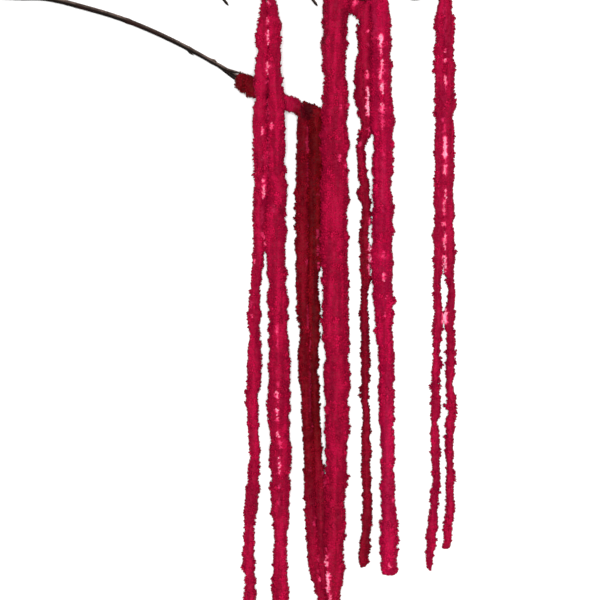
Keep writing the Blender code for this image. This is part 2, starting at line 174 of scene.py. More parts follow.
def smooth_curve(route: Iterable[Row]) -> tuple[np.ndarray, np.ndarray]:
    """Close rows along the smooth curve through a route's rows.

    Args:
        route: Rows of x, y, z and radius in mm.

    Returns:
        The close rows, and each one's distance along the curve in mm.
    """
    rows = np.array(route, float)
    spans = np.linalg.norm(np.diff(rows[:, :3], axis=0), axis=1)
    slopes = np.diff(rows, axis=0) / spans[:, None]
    tangents = np.empty_like(rows)
    tangents[0], tangents[-1] = slopes[0], slopes[-1]
    before, after = spans[:-1, None], spans[1:, None]
    tangents[1:-1] = (slopes[:-1] * after + slopes[1:] * before) / (before + after)
    dense = []
    for i, span in enumerate(spans):
        t = np.arange(0, span, FINE_STEP)[:, None] / span
        dense.append(
            (2 * t**3 - 3 * t**2 + 1) * rows[i]
            + (t**3 - 2 * t**2 + t) * span * tangents[i]
            + (3 * t**2 - 2 * t**3) * rows[i + 1]
            + (t**3 - t**2) * span * tangents[i + 1]
        )
    dense = np.vstack([*dense, rows[-1:]])
    steps = np.linalg.norm(np.diff(dense[:, :3], axis=0), axis=1)
    return dense, np.concatenate([[0], np.cumsum(steps)])


def add_attribute(mesh: bpy.types.Mesh, name: str, values: np.ndarray) -> None:
    """Stores a number or a vector for each point of a mesh.

    Args:
        mesh: The mesh.
        name: The attribute's name.
        values: One value, or one row of three, for each point.
    """
    kind, key = ("FLOAT", "value") if values.ndim == 1 else ("FLOAT_VECTOR", "vector")
    attribute = mesh.attributes.new(name, kind, "POINT")
    attribute.data.foreach_set(key, values.astype(np.float32).ravel())


def read_attribute(mesh: bpy.types.Mesh, name: str, width: int) -> np.ndarray:
    """Reads a mesh's point attribute.

    Args:
        mesh: The mesh.
        name: The attribute's name.
        width: 1 for numbers, or 3 for vectors.

    Returns:
        One value, or one row of three, for each point.
    """
    values = np.empty(len(mesh.vertices) * width, np.float32)
    mesh.attributes[name].data.foreach_get("value" if width == 1 else "vector", values)
    return values if width == 1 else values.reshape(-1, width)


def drop_attributes(mesh: bpy.types.Mesh, *names: str) -> None:
    """Removes what a mesh no longer needs on its points or corners.

    Args:
        mesh: The mesh.
        *names: The attributes' names, whether or not it has them.
    """
    for name in names:
        if name in mesh.attributes:
            mesh.attributes.remove(mesh.attributes[name])


def surface_tree(meshes: Iterable[bpy.types.Mesh]) -> BVHTree:
    """All the faces of some meshes, ready to be searched for the nearest place.

    Args:
        meshes: The meshes, of objects at the origin.

    Returns:
        One tree of their faces, in metres.
    """
    points, faces = [], []
    for mesh in meshes:
        start = len(points)
        points += [vert.co[:] for vert in mesh.vertices]
        faces += [tuple(start + i for i in polygon.vertices) for polygon in mesh.polygons]
    return BVHTree.FromPolygons(points, faces)


def link_object(name: str, mesh: bpy.types.Mesh) -> bpy.types.Object:
    """Puts a mesh in the scene as an object at the origin.

    Args:
        name: The object's name.
        mesh: Its mesh, with its place in its points.

    Returns:
        The new object.
    """
    obj = bpy.data.objects.new(name, mesh)
    bpy.context.scene.collection.objects.link(obj)
    return obj


class Tree:
    """A node tree that is being built, with short calls that add nodes and join them."""

    def __init__(self, tree: bpy.types.NodeTree) -> None:
        """Takes the tree that nodes are added to."""
        self.tree = tree

    @staticmethod
    def pick(sockets: Iterable[Socket], key: str | int) -> Socket:
        """Finds one of a node's sockets in use.

        Args:
            sockets: The node's inputs or its outputs.
            key: The socket's name, or its number among those in use.

        Returns:
            The first socket that fits.
        """
        shown = [socket for socket in sockets if socket.enabled]
        return shown[key] if isinstance(key, int) else next(s for s in shown if s.name == key)

    def feed(self, node: bpy.types.Node, key: str | int, value: object) -> None:
        """Joins a socket to an input, or sets the input's own value.

        Args:
            node: The node whose input it is.
            key: The input's name or number.
            value: A socket to join, or a plain value.
        """
        target = self.pick(node.inputs, key)
        if isinstance(value, Socket):
            self.tree.links.new(value, target)
        else:
            target.default_value = value

    def add(self, kind: str, inputs: Inputs | None = None, **settings: object) -> bpy.types.Node:
        """Adds a node.

        Args:
            kind: The node's type name.
            inputs: What goes into its inputs, by name or number.
            **settings: The node's own settings, made before its inputs.

        Returns:
            The new node.
        """
        node = self.tree.nodes.new(kind)
        for name, value in settings.items():
            setattr(node, name, value)
        for key, value in (inputs or {}).items():
            self.feed(node, key, value)
        return node

    def out(self, kind: str, inputs: Inputs | None = None, **settings: object) -> Socket:
        """Adds a node and returns its first output; its arguments are those of add."""
        return self.pick(self.add(kind, inputs, **settings).outputs, 0)

    def math(self, operation: str, *values: object) -> Socket:
        """The result of a Math node on these numbers."""
        return self.out("ShaderNodeMath", dict(enumerate(values)), operation=operation)

    def vectors(self, operation: str, *values: object) -> Socket:
        """The result of a Vector Math node on these vectors."""
        return self.out("ShaderNodeVectorMath", dict(enumerate(values)), operation=operation)

    def scaled(self, vector: object, factor: object) -> Socket:
        """A vector times a number."""
        return self.out("ShaderNodeVectorMath", {"Vector": vector, "Scale": factor}, operation="SCALE")

    def random(self, least: float, most: float, seed: object) -> Socket:
        """A random number for each point, between two ends."""
        inputs = {"Min": least, "Max": most, "Seed": seed}
        return self.out("FunctionNodeRandomValue", inputs, data_type="FLOAT")

    def ramp(self, value: Socket, low: float, high: float, least: float = 0.0, most: float = 1.0) -> Socket:
        """A value as it runs from low to high, turned into a smooth run from least to most.

        Args:
            value: The number that is read.
            low: Where the run starts.
            high: Where it ends.
            least: What it gives up to low.
            most: What it gives from high.

        Returns:
            The smooth value.
        """
        inputs = {"Value": value, "From Min": low, "From Max": high, "To Min": least, "To Max": most}
        return self.out("ShaderNodeMapRange", inputs, interpolation_type="SMOOTHSTEP")

    def mix(self, share: object, first: object, second: object) -> Socket:
        """Two colours mixed by a share of the second."""
        inputs = {"Factor": share, "A": first, "B": second}
        return self.out("ShaderNodeMix", inputs, data_type="RGBA", clamp_factor=True)

    def stored(self, geometry: Socket, name: str, value: object, kind: str = "FLOAT") -> Socket:
        """A geometry with a value kept on its points under a name."""
        inputs = {"Geometry": geometry, "Name": name, "Value": value}
        return self.out("GeometryNodeStoreNamedAttribute", inputs, data_type=kind, domain="POINT")

    def named(self, name: str, kind: str = "FLOAT") -> Socket:
        """The value that was kept on the points under a name."""
        return self.out("GeometryNodeInputNamedAttribute", {"Name": name}, data_type=kind)

    def finish(self, geometry: Socket, material: Socket) -> None:
        """Ends a Geometry Nodes tree: makes instances real, keeps them above the table and dresses them.

        Args:
            geometry: The geometry, with or without instances.
            material: The finish.
        """
        real = self.out("GeometryNodeRealizeInstances", {"Geometry": geometry})
        lying = self.vectors("MAXIMUM", self.out("GeometryNodeInputPosition"), LOWEST_CORNER)
        laid = self.out("GeometryNodeSetPosition", {"Geometry": real, "Position": lying})
        smooth = self.out("GeometryNodeSetShadeSmooth", {"Geometry": laid})
        dressed = self.out("GeometryNodeSetMaterial", {"Geometry": smooth, "Material": material})
        self.feed(self.add("NodeGroupOutput"), "Geometry", dressed)

    def socket(self, name: str, kind: str, default: object = None, output: bool = False) -> None:
        """Adds one of the tree's own inputs or outputs.

        Args:
            name: The name that it shows.
            kind: The socket's type, without the words that all types share.
            default: The value that it starts with.
            output: Whether it is an output.
        """
        made = self.tree.interface.new_socket(
            name=name, in_out="OUTPUT" if output else "INPUT", socket_type=f"NodeSocket{kind}"
        )
        if default is not None:
            made.default_value = default


def grown_mesh(
    obj: bpy.types.Object, tree: bpy.types.NodeTree, values: Mapping[str, object]
) -> bpy.types.Mesh:
    """Runs a Geometry Nodes tree on an object, and leaves the object as it was.

    Args:
        obj: The object that the tree starts from.
        tree: The Geometry Nodes tree.
        values: What goes into the tree's inputs, by name.

    Returns:
        The result as a plain mesh.
    """
    modifier = obj.modifiers.new(tree.name, "NODES")
    modifier.node_group = tree
    keys = {item.name: item.identifier for item in tree.interface.items_tree if item.in_out == "INPUT"}
    for name, value in values.items():
        modifier[keys[name]] = value
    obj.update_tag()
    graph = bpy.context.evaluated_depsgraph_get()
    mesh = bpy.data.meshes.new_from_object(obj.evaluated_get(graph))
    obj.modifiers.remove(modifier)
    return mesh


def material_place(tree: Tree) -> Socket:
    """The Object coordinates that a material's patterns are laid out on."""
    return Tree.pick(tree.add("ShaderNodeTexCoord").outputs, "Object")


def material_mask(tree: Tree, name: str) -> Socket:
    """A point attribute of the mesh, as a material reads it."""
    node = tree.add("ShaderNodeAttribute", attribute_name=name, attribute_type="GEOMETRY")
    return Tree.pick(node.outputs, "Fac")


def new_material(name: str) -> tuple[bpy.types.Material, Tree]:
    """A new material, and its tree with the plain shader that new materials have."""
    material = bpy.data.materials.new(name)
    material.use_nodes = True
    return material, Tree(material.node_tree)


@dataclass(frozen=True)
class DryGrain:
    """Fine grain of dry plant matter: a node group that both the florets' and the stem's materials use."""

    name: str = "dry_grain"
    detail: float = 3.0
    coarseness: float = 0.6
    contrast: Ramp = (0.3, 0.7)
    cloud_relief: float = 0.35

    def group(self) -> bpy.types.NodeTree:
        """Builds the group, or finds it if it is there.

        Returns:
            A shader group that gives a grain mask, a roughness and a normal.
        """
        known = bpy.data.node_groups.get(self.name)
        if known:
            return known
        tree = Tree(bpy.data.node_groups.new(self.name, "ShaderNodeTree"))
        tree.socket("Vector", "Vector")
        for name in ("Relief", "Scale", "Least Roughness", "Most Roughness"):
            tree.socket(name, "Float")
        for name in ("Bump Strength", "Bump Height"):
            tree.socket(name, "Float")
        tree.socket("Mask", "Float", output=True)
        tree.socket("Roughness", "Float", output=True)
        tree.socket("Normal", "Vector", output=True)
        given = tree.add("NodeGroupInput").outputs
        pattern = {"Vector": given["Vector"], "Scale": given["Scale"]}
        cloud = tree.out(
            "ShaderNodeTexNoise", {**pattern, "Detail": self.detail, "Roughness": self.coarseness}
        )
        mask = tree.ramp(cloud, *self.contrast)
        span = tree.math("SUBTRACT", given["Most Roughness"], given["Least Roughness"])
        roughness = tree.math("ADD", given["Least Roughness"], tree.math("MULTIPLY", mask, span))
        height = tree.math("ADD", given["Relief"], tree.math("MULTIPLY", cloud, self.cloud_relief))
        normal = tree.out(
            "ShaderNodeBump",
            {"Strength": given["Bump Strength"], "Distance": given["Bump Height"], "Height": height},
        )
        end = tree.add("NodeGroupOutput")
        for key, value in {"Mask": mask, "Roughness": roughness, "Normal": normal}.items():
            tree.feed(end, key, value)
        return tree.tree


@dataclass(frozen=True, kw_only=True)
class DryFinish:
    """What the finishes of dry plant matter share. The bump's height is in metres."""

    gloss: float
    grain_scale: float
    bump_strength: float
    bump_height: float
    least_roughness: float = 0.5
    most_roughness: float = 0.75

    def grain(self, tree: Tree, place: Socket, relief: Socket | float = 0.0) -> bpy.types.Node:
        """Adds the fine grain.

        Args:
            tree: The material's tree.
            place: The coordinates that it is laid out on.
            relief: The height of what it lies on.

        Returns:
            A group node with a mask, a roughness and a normal.
        """
        inputs = {
            "Vector": place, "Relief": relief, "Scale": self.grain_scale,
            "Least Roughness": self.least_roughness, "Most Roughness": self.most_roughness,
            "Bump Strength": self.bump_strength, "Bump Height": self.bump_height,
        }
        return tree.add("ShaderNodeGroup", inputs, node_tree=DryGrain().group())

    def connect(self, tree: Tree, colour: Socket, grain: bpy.types.Node) -> bpy.types.Node:
        """Joins a colour and the grain to the material's shader.

        Args:
            tree: The material's tree.
            colour: The surface's colour.
            grain: The node of the fine grain.

        Returns:
            The shader's node.
        """
        shader = tree.tree.nodes["Principled BSDF"]
        inputs = {
            "Base Color": colour, "Roughness": grain.outputs["Roughness"],
            "Normal": grain.outputs["Normal"], "Specular IOR Level": self.gloss,
        }
        for name, value in inputs.items():
            tree.feed(shader, name, value)
        return shader


@dataclass(frozen=True)
class FloretColours:
    """The colours of one state of the florets: in the hollows, on their sides and at their tips. The deeper
    colour of the hollows is painted shade, and the tip colour, which shows on the upward side, is a painted
    highlight.
    """

    deep: Colour
    body: Colour
    tip: Colour


@dataclass(frozen=True, kw_only=True)
class FloretFinish(DryFinish):
    """Matt, slightly waxy florets, whose colour runs from fresh to aged along a tassel. The colour also
    holds painted shade in the hollows and on the flanks and underside, a painted highlight on the upward
    side, and marks of painted highlight and painted shade.
    """

    slot: Slot
    fresh: FloretColours
    aged: FloretColours
    # rose and pale are the colours of painted highlights, and shade is the colour of painted shade; the
    # marks of painted light mix them in
    rose: Colour = linear(224, 48, 102)
    pale: Colour = linear(246, 168, 192)
    shade: Colour = linear(54, 0, 8)
    gloss: float = 0.06
    grain_scale: float = 1400.0
    bump_strength: float = 0.4
    bump_height: float = 0.0004
    sheen: float = 0.06
    sheen_tint: Colour = linear(230, 40, 90)
    streak_scale: tuple[float, float, float] = (240.0, 20.0, 240.0)
    floret_scale: float = 700.0
    tone_drift: float = 0.14
    # flank_light and hollow_light deepen the colour on the flanks and underside and in the hollows: painted
    # shade. bright_top keeps the tip colour to the upward side: a painted highlight. turns_rose and
    # turns_pale bring in painted highlights, and bare_core with core_floret paints shade between floret
    # cells on the bare core.
    flank_light: Ramp = (-0.1, 0.85, 0.4, 1.0)
    hollow_light: Ramp = (-0.9, 0.7)
    dark_tone: Ramp = (0.0, 0.3, 0.6, 1.0)
    dark_streak: Ramp = (0.38, 0.56, 0.45, 1.0)
    bright_streak: Ramp = (0.46, 0.76)
    bright_top: Ramp = (0.3, 0.95)
    turns_rose: Ramp = (0.0, 0.55)
    turns_pale: Ramp = (0.4, 1.0)
    bare_core: Ramp = (0.0, 0.1, 1.0, 0.0)
    core_floret: Ramp = (0.1, 0.7, 0.75, 0.0)

    def colour_group(self) -> bpy.types.NodeTree:
        """Builds the group that colours a floret, or finds it if it is there.

        Returns:
            A shader group that gives a colour from a floret's own values.
        """
        name = "floret_colour"
        known = bpy.data.node_groups.get(name)
        if known:
            return known
        tree = Tree(bpy.data.node_groups.new(name, "ShaderNodeTree"))
        for mask in ("Height", "Tone", "Facing", "Age", "Fade", "Streak"):
            tree.socket(mask, "Float")
        for colour in self.colours():
            tree.socket(colour, "Color")
        tree.socket("Color", "Color", output=True)
        given = tree.add("NodeGroupInput").outputs
        drift = tree.math("ADD", tree.math("MULTIPLY", given["Tone"], self.tone_drift), given["Streak"])
        # Painted shade: the colour deepens on the tassel's flanks and underside, and towards the florets'
        # bases in the hollows
        flank = tree.ramp(given["Facing"], *self.flank_light)
        lift = tree.math("MULTIPLY", tree.ramp(given["Height"], *self.hollow_light), flank)
        lift = tree.math("MULTIPLY", lift, tree.ramp(given["Tone"], *self.dark_tone))
        lift = tree.math("MULTIPLY", lift, tree.ramp(drift, *self.dark_streak))
        # Painted highlight: the tip colour shows only on the upward-facing side
        top = tree.ramp(given["Facing"], *self.bright_top)
        bright = tree.math("MULTIPLY", tree.ramp(drift, *self.bright_streak), top)
        states = []
        for state in ("Fresh", "Aged"):
            sides = tree.mix(lift, given[f"{state} Deep"], given[f"{state} Body"])
            states.append(tree.mix(tree.math("MULTIPLY", bright, lift), sides, given[f"{state} Tip"]))
        plain = tree.mix(given["Age"], *states)
        # Marks of painted light: rose and pale painted highlights where positive, painted shade where
        # negative
        rosy = tree.mix(tree.ramp(given["Fade"], *self.turns_rose), plain, given["Rose"])
        faded = tree.mix(tree.ramp(given["Fade"], *self.turns_pale), rosy, given["Pale"])
        shaded = tree.mix(tree.math("MULTIPLY", given["Fade"], -1.0), faded, given["Shade"])
        tree.feed(tree.add("NodeGroupOutput"), "Color", shaded)
        return tree.tree

    def colours(self) -> dict[str, tuple[float, ...]]:
        """Names the finish's colours as the colour group's inputs.

        Returns:
            The colours with full alpha, by input.
        """
        colours = {}
        for state, parts in (("Fresh", self.fresh), ("Aged", self.aged)):
            for part in ("deep", "body", "tip"):
                colours[f"{state} {part.title()}"] = opaque(getattr(parts, part))
        for state in ("rose", "pale", "shade"):
            colours[state.title()] = opaque(getattr(self, state))
        return colours

    def material(self) -> bpy.types.Material:
        """Builds the material.

        Returns:
            A Principled material named after its slot.
        """
        material, tree = new_material(self.slot.value)
        place = material_place(tree)
        stretched = tree.vectors("MULTIPLY", place, self.streak_scale)
        streak = tree.out("ShaderNodeTexNoise", {"Vector": stretched, "Scale": 1.0, "Detail": 1.0})
        # On the bare core the colour deepens towards the borders of floret-sized cells, as painted shade
        # between florets; the same cells give the bump its relief. The florets' height deepens their bases
        # the same way.
        cell = tree.out("ShaderNodeTexVoronoi", {"Vector": place, "Scale": self.floret_scale})
        height = material_mask(tree, "height")
        bare = tree.ramp(height, *self.bare_core)
        low_floret = tree.math("MULTIPLY", tree.ramp(cell, *self.core_floret), bare)
        masks = {"Height": tree.math("MAXIMUM", height, low_floret), "Streak": streak}
        for mask in ("Tone", "Facing", "Age", "Fade"):
            masks[mask] = material_mask(tree, mask.lower())
        colour = tree.out("ShaderNodeGroup", {**masks, **self.colours()}, node_tree=self.colour_group())
        shader = self.connect(tree, colour, self.grain(tree, place, low_floret))
        tree.feed(shader, "Sheen Weight", self.sheen)
        tree.feed(shader, "Sheen Tint", opaque(self.sheen_tint))
        return material


@dataclass(frozen=True, kw_only=True)
class BarkFinish(DryFinish):
    """Thin dry bark, near black, with pale worn ridges shown only on the side that faces +Y, partly wear
    and partly a painted highlight along that side, and pale pith where it was cut.
    """

    furrow: Colour = linear(11, 7, 5)
    ridge: Colour = linear(148, 124, 114)
    blotch: Colour = linear(44, 18, 14)
    blush: Colour = linear(104, 10, 30)
    pith: Colour = linear(190, 166, 128)
    gloss: float = 0.05
    grain_scale: float = 700.0
    bump_strength: float = 0.5
    bump_height: float = 0.0002
    cloud_scale: float = 55.0
    worn_ridge: Ramp = (0.2, 0.6)
    worn_grain: Ramp = (0.0, 0.5)
    wear: Ramp = (0.0, 1.0, 0.4, 1.0)
    patches: Ramp = (0.35, 0.6, 1.0, 0.45)
    blotches: Ramp = (0.5, 0.75)
    blotch_share: float = 0.5
    blush_share: float = 0.85
    pith_edge: Ramp = (0.2, 0.6)

    def material(self) -> bpy.types.Material:
        """Builds the material.

        Returns:
            A Principled material named after its slot.
        """
        material, tree = new_material(Slot.STEM.value)
        place = material_place(tree)
        grain = self.grain(tree, place)
        cloud = tree.out("ShaderNodeTexNoise", {"Vector": place, "Scale": self.cloud_scale, "Detail": 2.0})
        worn_grain = tree.ramp(grain.outputs["Mask"], *self.worn_grain)
        worn = tree.math("MULTIPLY", tree.ramp(material_mask(tree, "ridge"), *self.worn_ridge), worn_grain)
        # Pale worn ridges only in patches on the side that faces +Y: wear, with a painted highlight along
        # that side
        patch = tree.math("MULTIPLY", material_mask(tree, "painted_highlight_side"), tree.ramp(cloud, *self.patches))
        share = tree.math("MULTIPLY", tree.ramp(worn, *self.wear), patch)
        bark = tree.mix(share, opaque(self.furrow), opaque(self.ridge))
        blotched = tree.math("MULTIPLY", tree.ramp(cloud, *self.blotches), self.blotch_share)
        bark = tree.mix(blotched, bark, opaque(self.blotch))
        reddened = tree.math("MULTIPLY", material_mask(tree, "blush"), self.blush_share)
        bark = tree.mix(reddened, bark, opaque(self.blush))
        heart = tree.ramp(material_mask(tree, "heart"), *self.pith_edge)
        self.connect(tree, tree.mix(heart, bark, opaque(self.pith)), grain)
        return material


@dataclass(frozen=True)
class FloretCover:
    """Florets in round clusters all over a tassel's core, as a Geometry Nodes tree. Lengths are in mm.

    All tassels share one tree, so that only the lengths can differ from one to another.
    """

    name: str = "floret_cover"
    core_inset: float = 0.6
    lump_size: float = 8.0
    lump_height: float = 2.1
    cluster_spacing: float = 2.6
    candidates: float = 7.0
    underside_share: float = 0.35
    underside: Ramp = (-0.9, -0.6)
    grains: int = 7
    grain_length: float = 0.88
    grain_width: float = 0.8
    cluster_reach: float = 1.4
    splay: float = 0.65
    tip_lean: float = 0.8
    sizes: tuple[float, float] = (0.8, 2.1)
    few_are_large: float = 7.0
    stretch: float = 16.0
    calm_to_ragged: Ramp = (0.38, 0.62, 0.62, 1.25)
    first_grain: float = 0.3
    turn_spread: float = 0.35
    dome_drop: float = 0.45
    cluster_tone_share: float = 0.6
    girth_spread: tuple[float, float] = (0.85, 1.15)
    length_spread: tuple[float, float] = (0.75, 1.3)
    grain_sag: float = 0.2
    grain_rise: float = 0.35

    def lengths(self) -> dict[str, float]:
        """Names the lengths as the tree's inputs.

        Returns:
            The lengths in metres, by input.
        """
        return {
            "Core Inset": self.core_inset * MM,
            "Lump Size": self.lump_size * MM,
            "Lump Height": self.lump_height * MM,
            "Cluster Spacing": self.cluster_spacing * MM,
            "Cluster Reach": self.cluster_reach * MM,
            "Grain Length": self.grain_length * MM,
            "Grain Width": self.grain_width * MM,
            "Stretch": self.stretch * MM,
        }

    def tree(self) -> bpy.types.NodeTree:
        """Builds the tree.

        Returns:
            A Geometry Nodes tree that turns a tassel's skin into a core with its florets.
        """
        tree = Tree(bpy.data.node_groups.new(self.name, "GeometryNodeTree"))
        tree.socket("Geometry", "Geometry")
        for name, length in self.lengths().items():
            tree.socket(name, "Float", length)
        for name, number in {"Splay": self.splay, "Tip Lean": self.tip_lean}.items():
            tree.socket(name, "Float", number)
        tree.socket("Grains", "Int", self.grains)
        tree.socket("Seed", "Int", 0)
        tree.socket("Material", "Material")
        tree.socket("Geometry", "Geometry", output=True)
        given = tree.add("NodeGroupInput").outputs
        core = self.core(tree, given)
        florets = self.florets(tree, given, core)
        joined = tree.add("GeometryNodeJoinGeometry")
        for part in (florets, core):
            tree.feed(joined, "Geometry", part)
        tree.finish(joined.outputs[0], given["Material"])
        return tree.tree

    @staticmethod
    def core(tree: Tree, given: bpy.types.NodeOutputs) -> Socket:
        """The lumpy body under the florets.

        Args:
            tree: The tree that is being built.
            given: The tree's inputs.

        Returns:
            The core's geometry.
        """
        soft = tree.out("GeometryNodeSubdivisionSurface", {"Mesh": given["Geometry"], "Level": 1})
        normal = tree.out("GeometryNodeInputNormal")
        place = tree.out("GeometryNodeInputPosition")
        scale = tree.math("DIVIDE", 1.0, given["Lump Size"])
        cloud = tree.out("ShaderNodeTexNoise", {"Vector": place, "Scale": scale, "Detail": 1.0})
        height = tree.math("MULTIPLY", given["Lump Height"], 2.0)
        lump = tree.math("MULTIPLY", tree.math("SUBTRACT", cloud, 0.5), height)
        free = tree.math("SUBTRACT", 1.0, tree.named("pressed"))
        out = tree.math("MULTIPLY", tree.math("SUBTRACT", lump, given["Core Inset"]), free)
        shaped = tree.out("GeometryNodeSetPosition", {"Geometry": soft, "Offset": tree.scaled(normal, out)})
        # How far the surface faces up: the material reads it for painted shade on the flanks and underside
        # and a painted highlight on top
        upward = tree.add("ShaderNodeSeparateXYZ", {"Vector": tree.out("GeometryNodeInputNormal")})
        shaped = tree.stored(shaped, "root", tree.out("GeometryNodeInputPosition"), "FLOAT_VECTOR")
        return tree.stored(shaped, "facing", upward.outputs["Z"])

    def florets(self, tree: Tree, given: bpy.types.NodeOutputs, core: Socket) -> Socket:
        """All the florets, as instances of one pointed grain.

        Args:
            tree: The tree that is being built.
            given: The tree's inputs.
            core: The geometry that they grow on.

        Returns:
            The florets' geometry.
        """
        spacing = given["Cluster Spacing"]
        crowd = tree.math("DIVIDE", self.candidates, tree.math("MULTIPLY", spacing, spacing))
        share = tree.ramp(tree.named("facing"), *self.underside, self.underside_share, 1.0)
        crowding = {"Distance Min": spacing, "Density Max": crowd, "Density Factor": share}
        spread = tree.add(
            "GeometryNodeDistributePointsOnFaces",
            {"Mesh": core, **crowding, "Seed": given["Seed"]},
            distribute_method="POISSON",
        )
        tipward = tree.named("tipward", "FLOAT_VECTOR")
        axis = tree.vectors("ADD", spread.outputs["Normal"], tree.scaled(tipward, given["Tip Lean"]))
        aligned = tree.out("FunctionNodeAlignRotationToVector", {"Vector": axis}, axis="Z")
        about_z = {"Axis": (0.0, 0.0, 1.0), "Angle": tree.random(0.0, math.tau, 1)}
        turned = {"Rotation": aligned, "Rotate By": tree.out("FunctionNodeAxisAngleToRotation", about_z)}
        frame = tree.out("FunctionNodeRotateRotation", turned, rotation_space="LOCAL")
        clusters = tree.stored(spread.outputs["Points"], "cluster_frame", frame, "QUATERNION")
        least, most = self.sizes
        draw = tree.math("POWER", tree.random(0.0, 1.0, 2), self.few_are_large)
        size = tree.math("ADD", least, tree.math("MULTIPLY", draw, most - least))
        finer = tree.math("DIVIDE", 1.0, given["Stretch"])
        place = tree.out("GeometryNodeInputPosition")
        cloud = tree.out("ShaderNodeTexNoise", {"Vector": place, "Scale": finer, "Detail": 0.0})
        clusters = tree.stored(clusters, "cluster_size", size)
        clusters = tree.stored(clusters, "cluster_height", tree.ramp(cloud, *self.calm_to_ragged))
        clusters = tree.stored(clusters, "cluster_tone", tree.random(0.0, 1.0, 3))
        amount = {"Geometry": clusters, "Amount": given["Grains"]}
        copies = tree.add("GeometryNodeDuplicateElements", amount, domain="POINT")
        return self.grains_on(tree, given, copies)

    def grains_on(self, tree: Tree, given: bpy.types.NodeOutputs, copies: bpy.types.Node) -> Socket:
        """Places the grains of each cluster round its middle, leaning further out towards its edge.

        Args:
            tree: The tree that is being built.
            given: The tree's inputs.
            copies: The node that gives each cluster's points and their numbers.

        Returns:
            The grains as instances.
        """
        number = tree.math("ADD", copies.outputs["Duplicate Index"], self.first_grain)
        share = tree.math("SQRT", tree.math("DIVIDE", number, given["Grains"]))
        turn = tree.math("MULTIPLY", number, GOLDEN_ANGLE)
        turn = tree.math("ADD", turn, tree.random(-self.turn_spread, self.turn_spread, 4))
        round_it = {"X": tree.math("COSINE", turn), "Y": tree.math("SINE", turn)}
        flat = tree.scaled(tree.out("ShaderNodeCombineXYZ", round_it), share)
        frame = tree.named("cluster_frame", "QUATERNION")
        size = tree.named("cluster_size")
        drop = tree.math("MULTIPLY", tree.math("POWER", share, 2.0), -self.dome_drop)
        domed = tree.vectors("ADD", flat, tree.out("ShaderNodeCombineXYZ", {"Z": drop}))
        local = tree.scaled(domed, tree.math("MULTIPLY", size, given["Cluster Reach"]))
        offset = tree.out("FunctionNodeRotateVector", {"Vector": local, "Rotation": frame})
        moved = {"Geometry": copies.outputs["Geometry"], "Offset": offset}
        placed = tree.out("GeometryNodeSetPosition", moved)
        leaning = tree.vectors("ADD", tree.scaled(flat, given["Splay"]), (0.0, 0.0, 1.0))
        axis = tree.out("FunctionNodeRotateVector", {"Vector": leaning, "Rotation": frame})
        rotation = tree.out("FunctionNodeAlignRotationToVector", {"Vector": axis}, axis="Z")
        shared = tree.math("MULTIPLY", tree.named("cluster_tone"), self.cluster_tone_share)
        own = tree.math("MULTIPLY", tree.random(0.0, 1.0, 5), 1 - self.cluster_tone_share)
        placed = tree.stored(placed, "tone", tree.math("ADD", shared, own))
        placed = tree.stored(placed, "root", tree.out("GeometryNodeInputPosition"), "FLOAT_VECTOR")
        girth = tree.math("MULTIPLY", given["Grain Width"], size)
        girth = tree.math("MULTIPLY", girth, tree.random(*self.girth_spread, 6))
        tall = tree.math("MULTIPLY", given["Grain Length"], tree.named("cluster_height"))
        length = tree.math("MULTIPLY", tall, size)
        length = tree.math("MULTIPLY", length, tree.random(*self.length_spread, 7))
        scale = tree.out("ShaderNodeCombineXYZ", {"X": girth, "Y": girth, "Z": length})
        grain = {"Instance": self.grain(tree), "Rotation": rotation, "Scale": scale}
        return tree.out("GeometryNodeInstanceOnPoints", {"Points": placed, **grain})

    def grain(self, tree: Tree) -> Socket:
        """Makes one closed pointed grain of eight faces, widest below its middle.

        Args:
            tree: The tree that is being built.

        Returns:
            The grain, of unit half length, with its height from 0 to 1 kept on its points.
        """
        ball = tree.out("GeometryNodeMeshUVSphere", {"Segments": 4, "Rings": 2, "Radius": 1.0})
        place = tree.add("ShaderNodeSeparateXYZ", {"Vector": tree.out("GeometryNodeInputPosition")})
        height = place.outputs["Z"]
        # The material deepens a grain's colour towards its base by this height, as painted shade in the
        # hollows
        marked = tree.stored(ball, "height", tree.math("MULTIPLY", tree.math("ADD", height, 1.0), 0.5))
        rim = tree.math("SUBTRACT", 1.0, tree.math("ABSOLUTE", height))
        sag = tree.out("ShaderNodeCombineXYZ", {"Z": tree.math("MULTIPLY", rim, -self.grain_sag)})
        teardrop = tree.out("GeometryNodeSetPosition", {"Geometry": marked, "Offset": sag})
        risen = {"Geometry": teardrop, "Translation": (0.0, 0.0, self.grain_rise)}
        return tree.out("GeometryNodeTransform", risen)


@dataclass(frozen=True)
class Nudge:
    """A soft push of a tassel's skin round a place: its middle, half sizes and shift, in mm."""

    x: float
    y: float
    half_width: float
    half_length: float
    shift_x: float
    shift_y: float
    edge_gain: float = 1.4

    def shifts(self, points: np.ndarray) -> np.ndarray:
        """How far each point moves.

        Args:
            points: Rows of x, y and z in mm.

        Returns:
            Rows of shifts in x, y and z in mm.
        """
        aside = (points[:, 0] - self.x) / self.half_width
        ahead = (points[:, 1] - self.y) / self.half_length
        share = np.clip(self.edge_gain * (1 - aside**2 - ahead**2), 0, 1)
        return eased(share)[:, None] * np.array([self.shift_x, self.shift_y, 0.0])


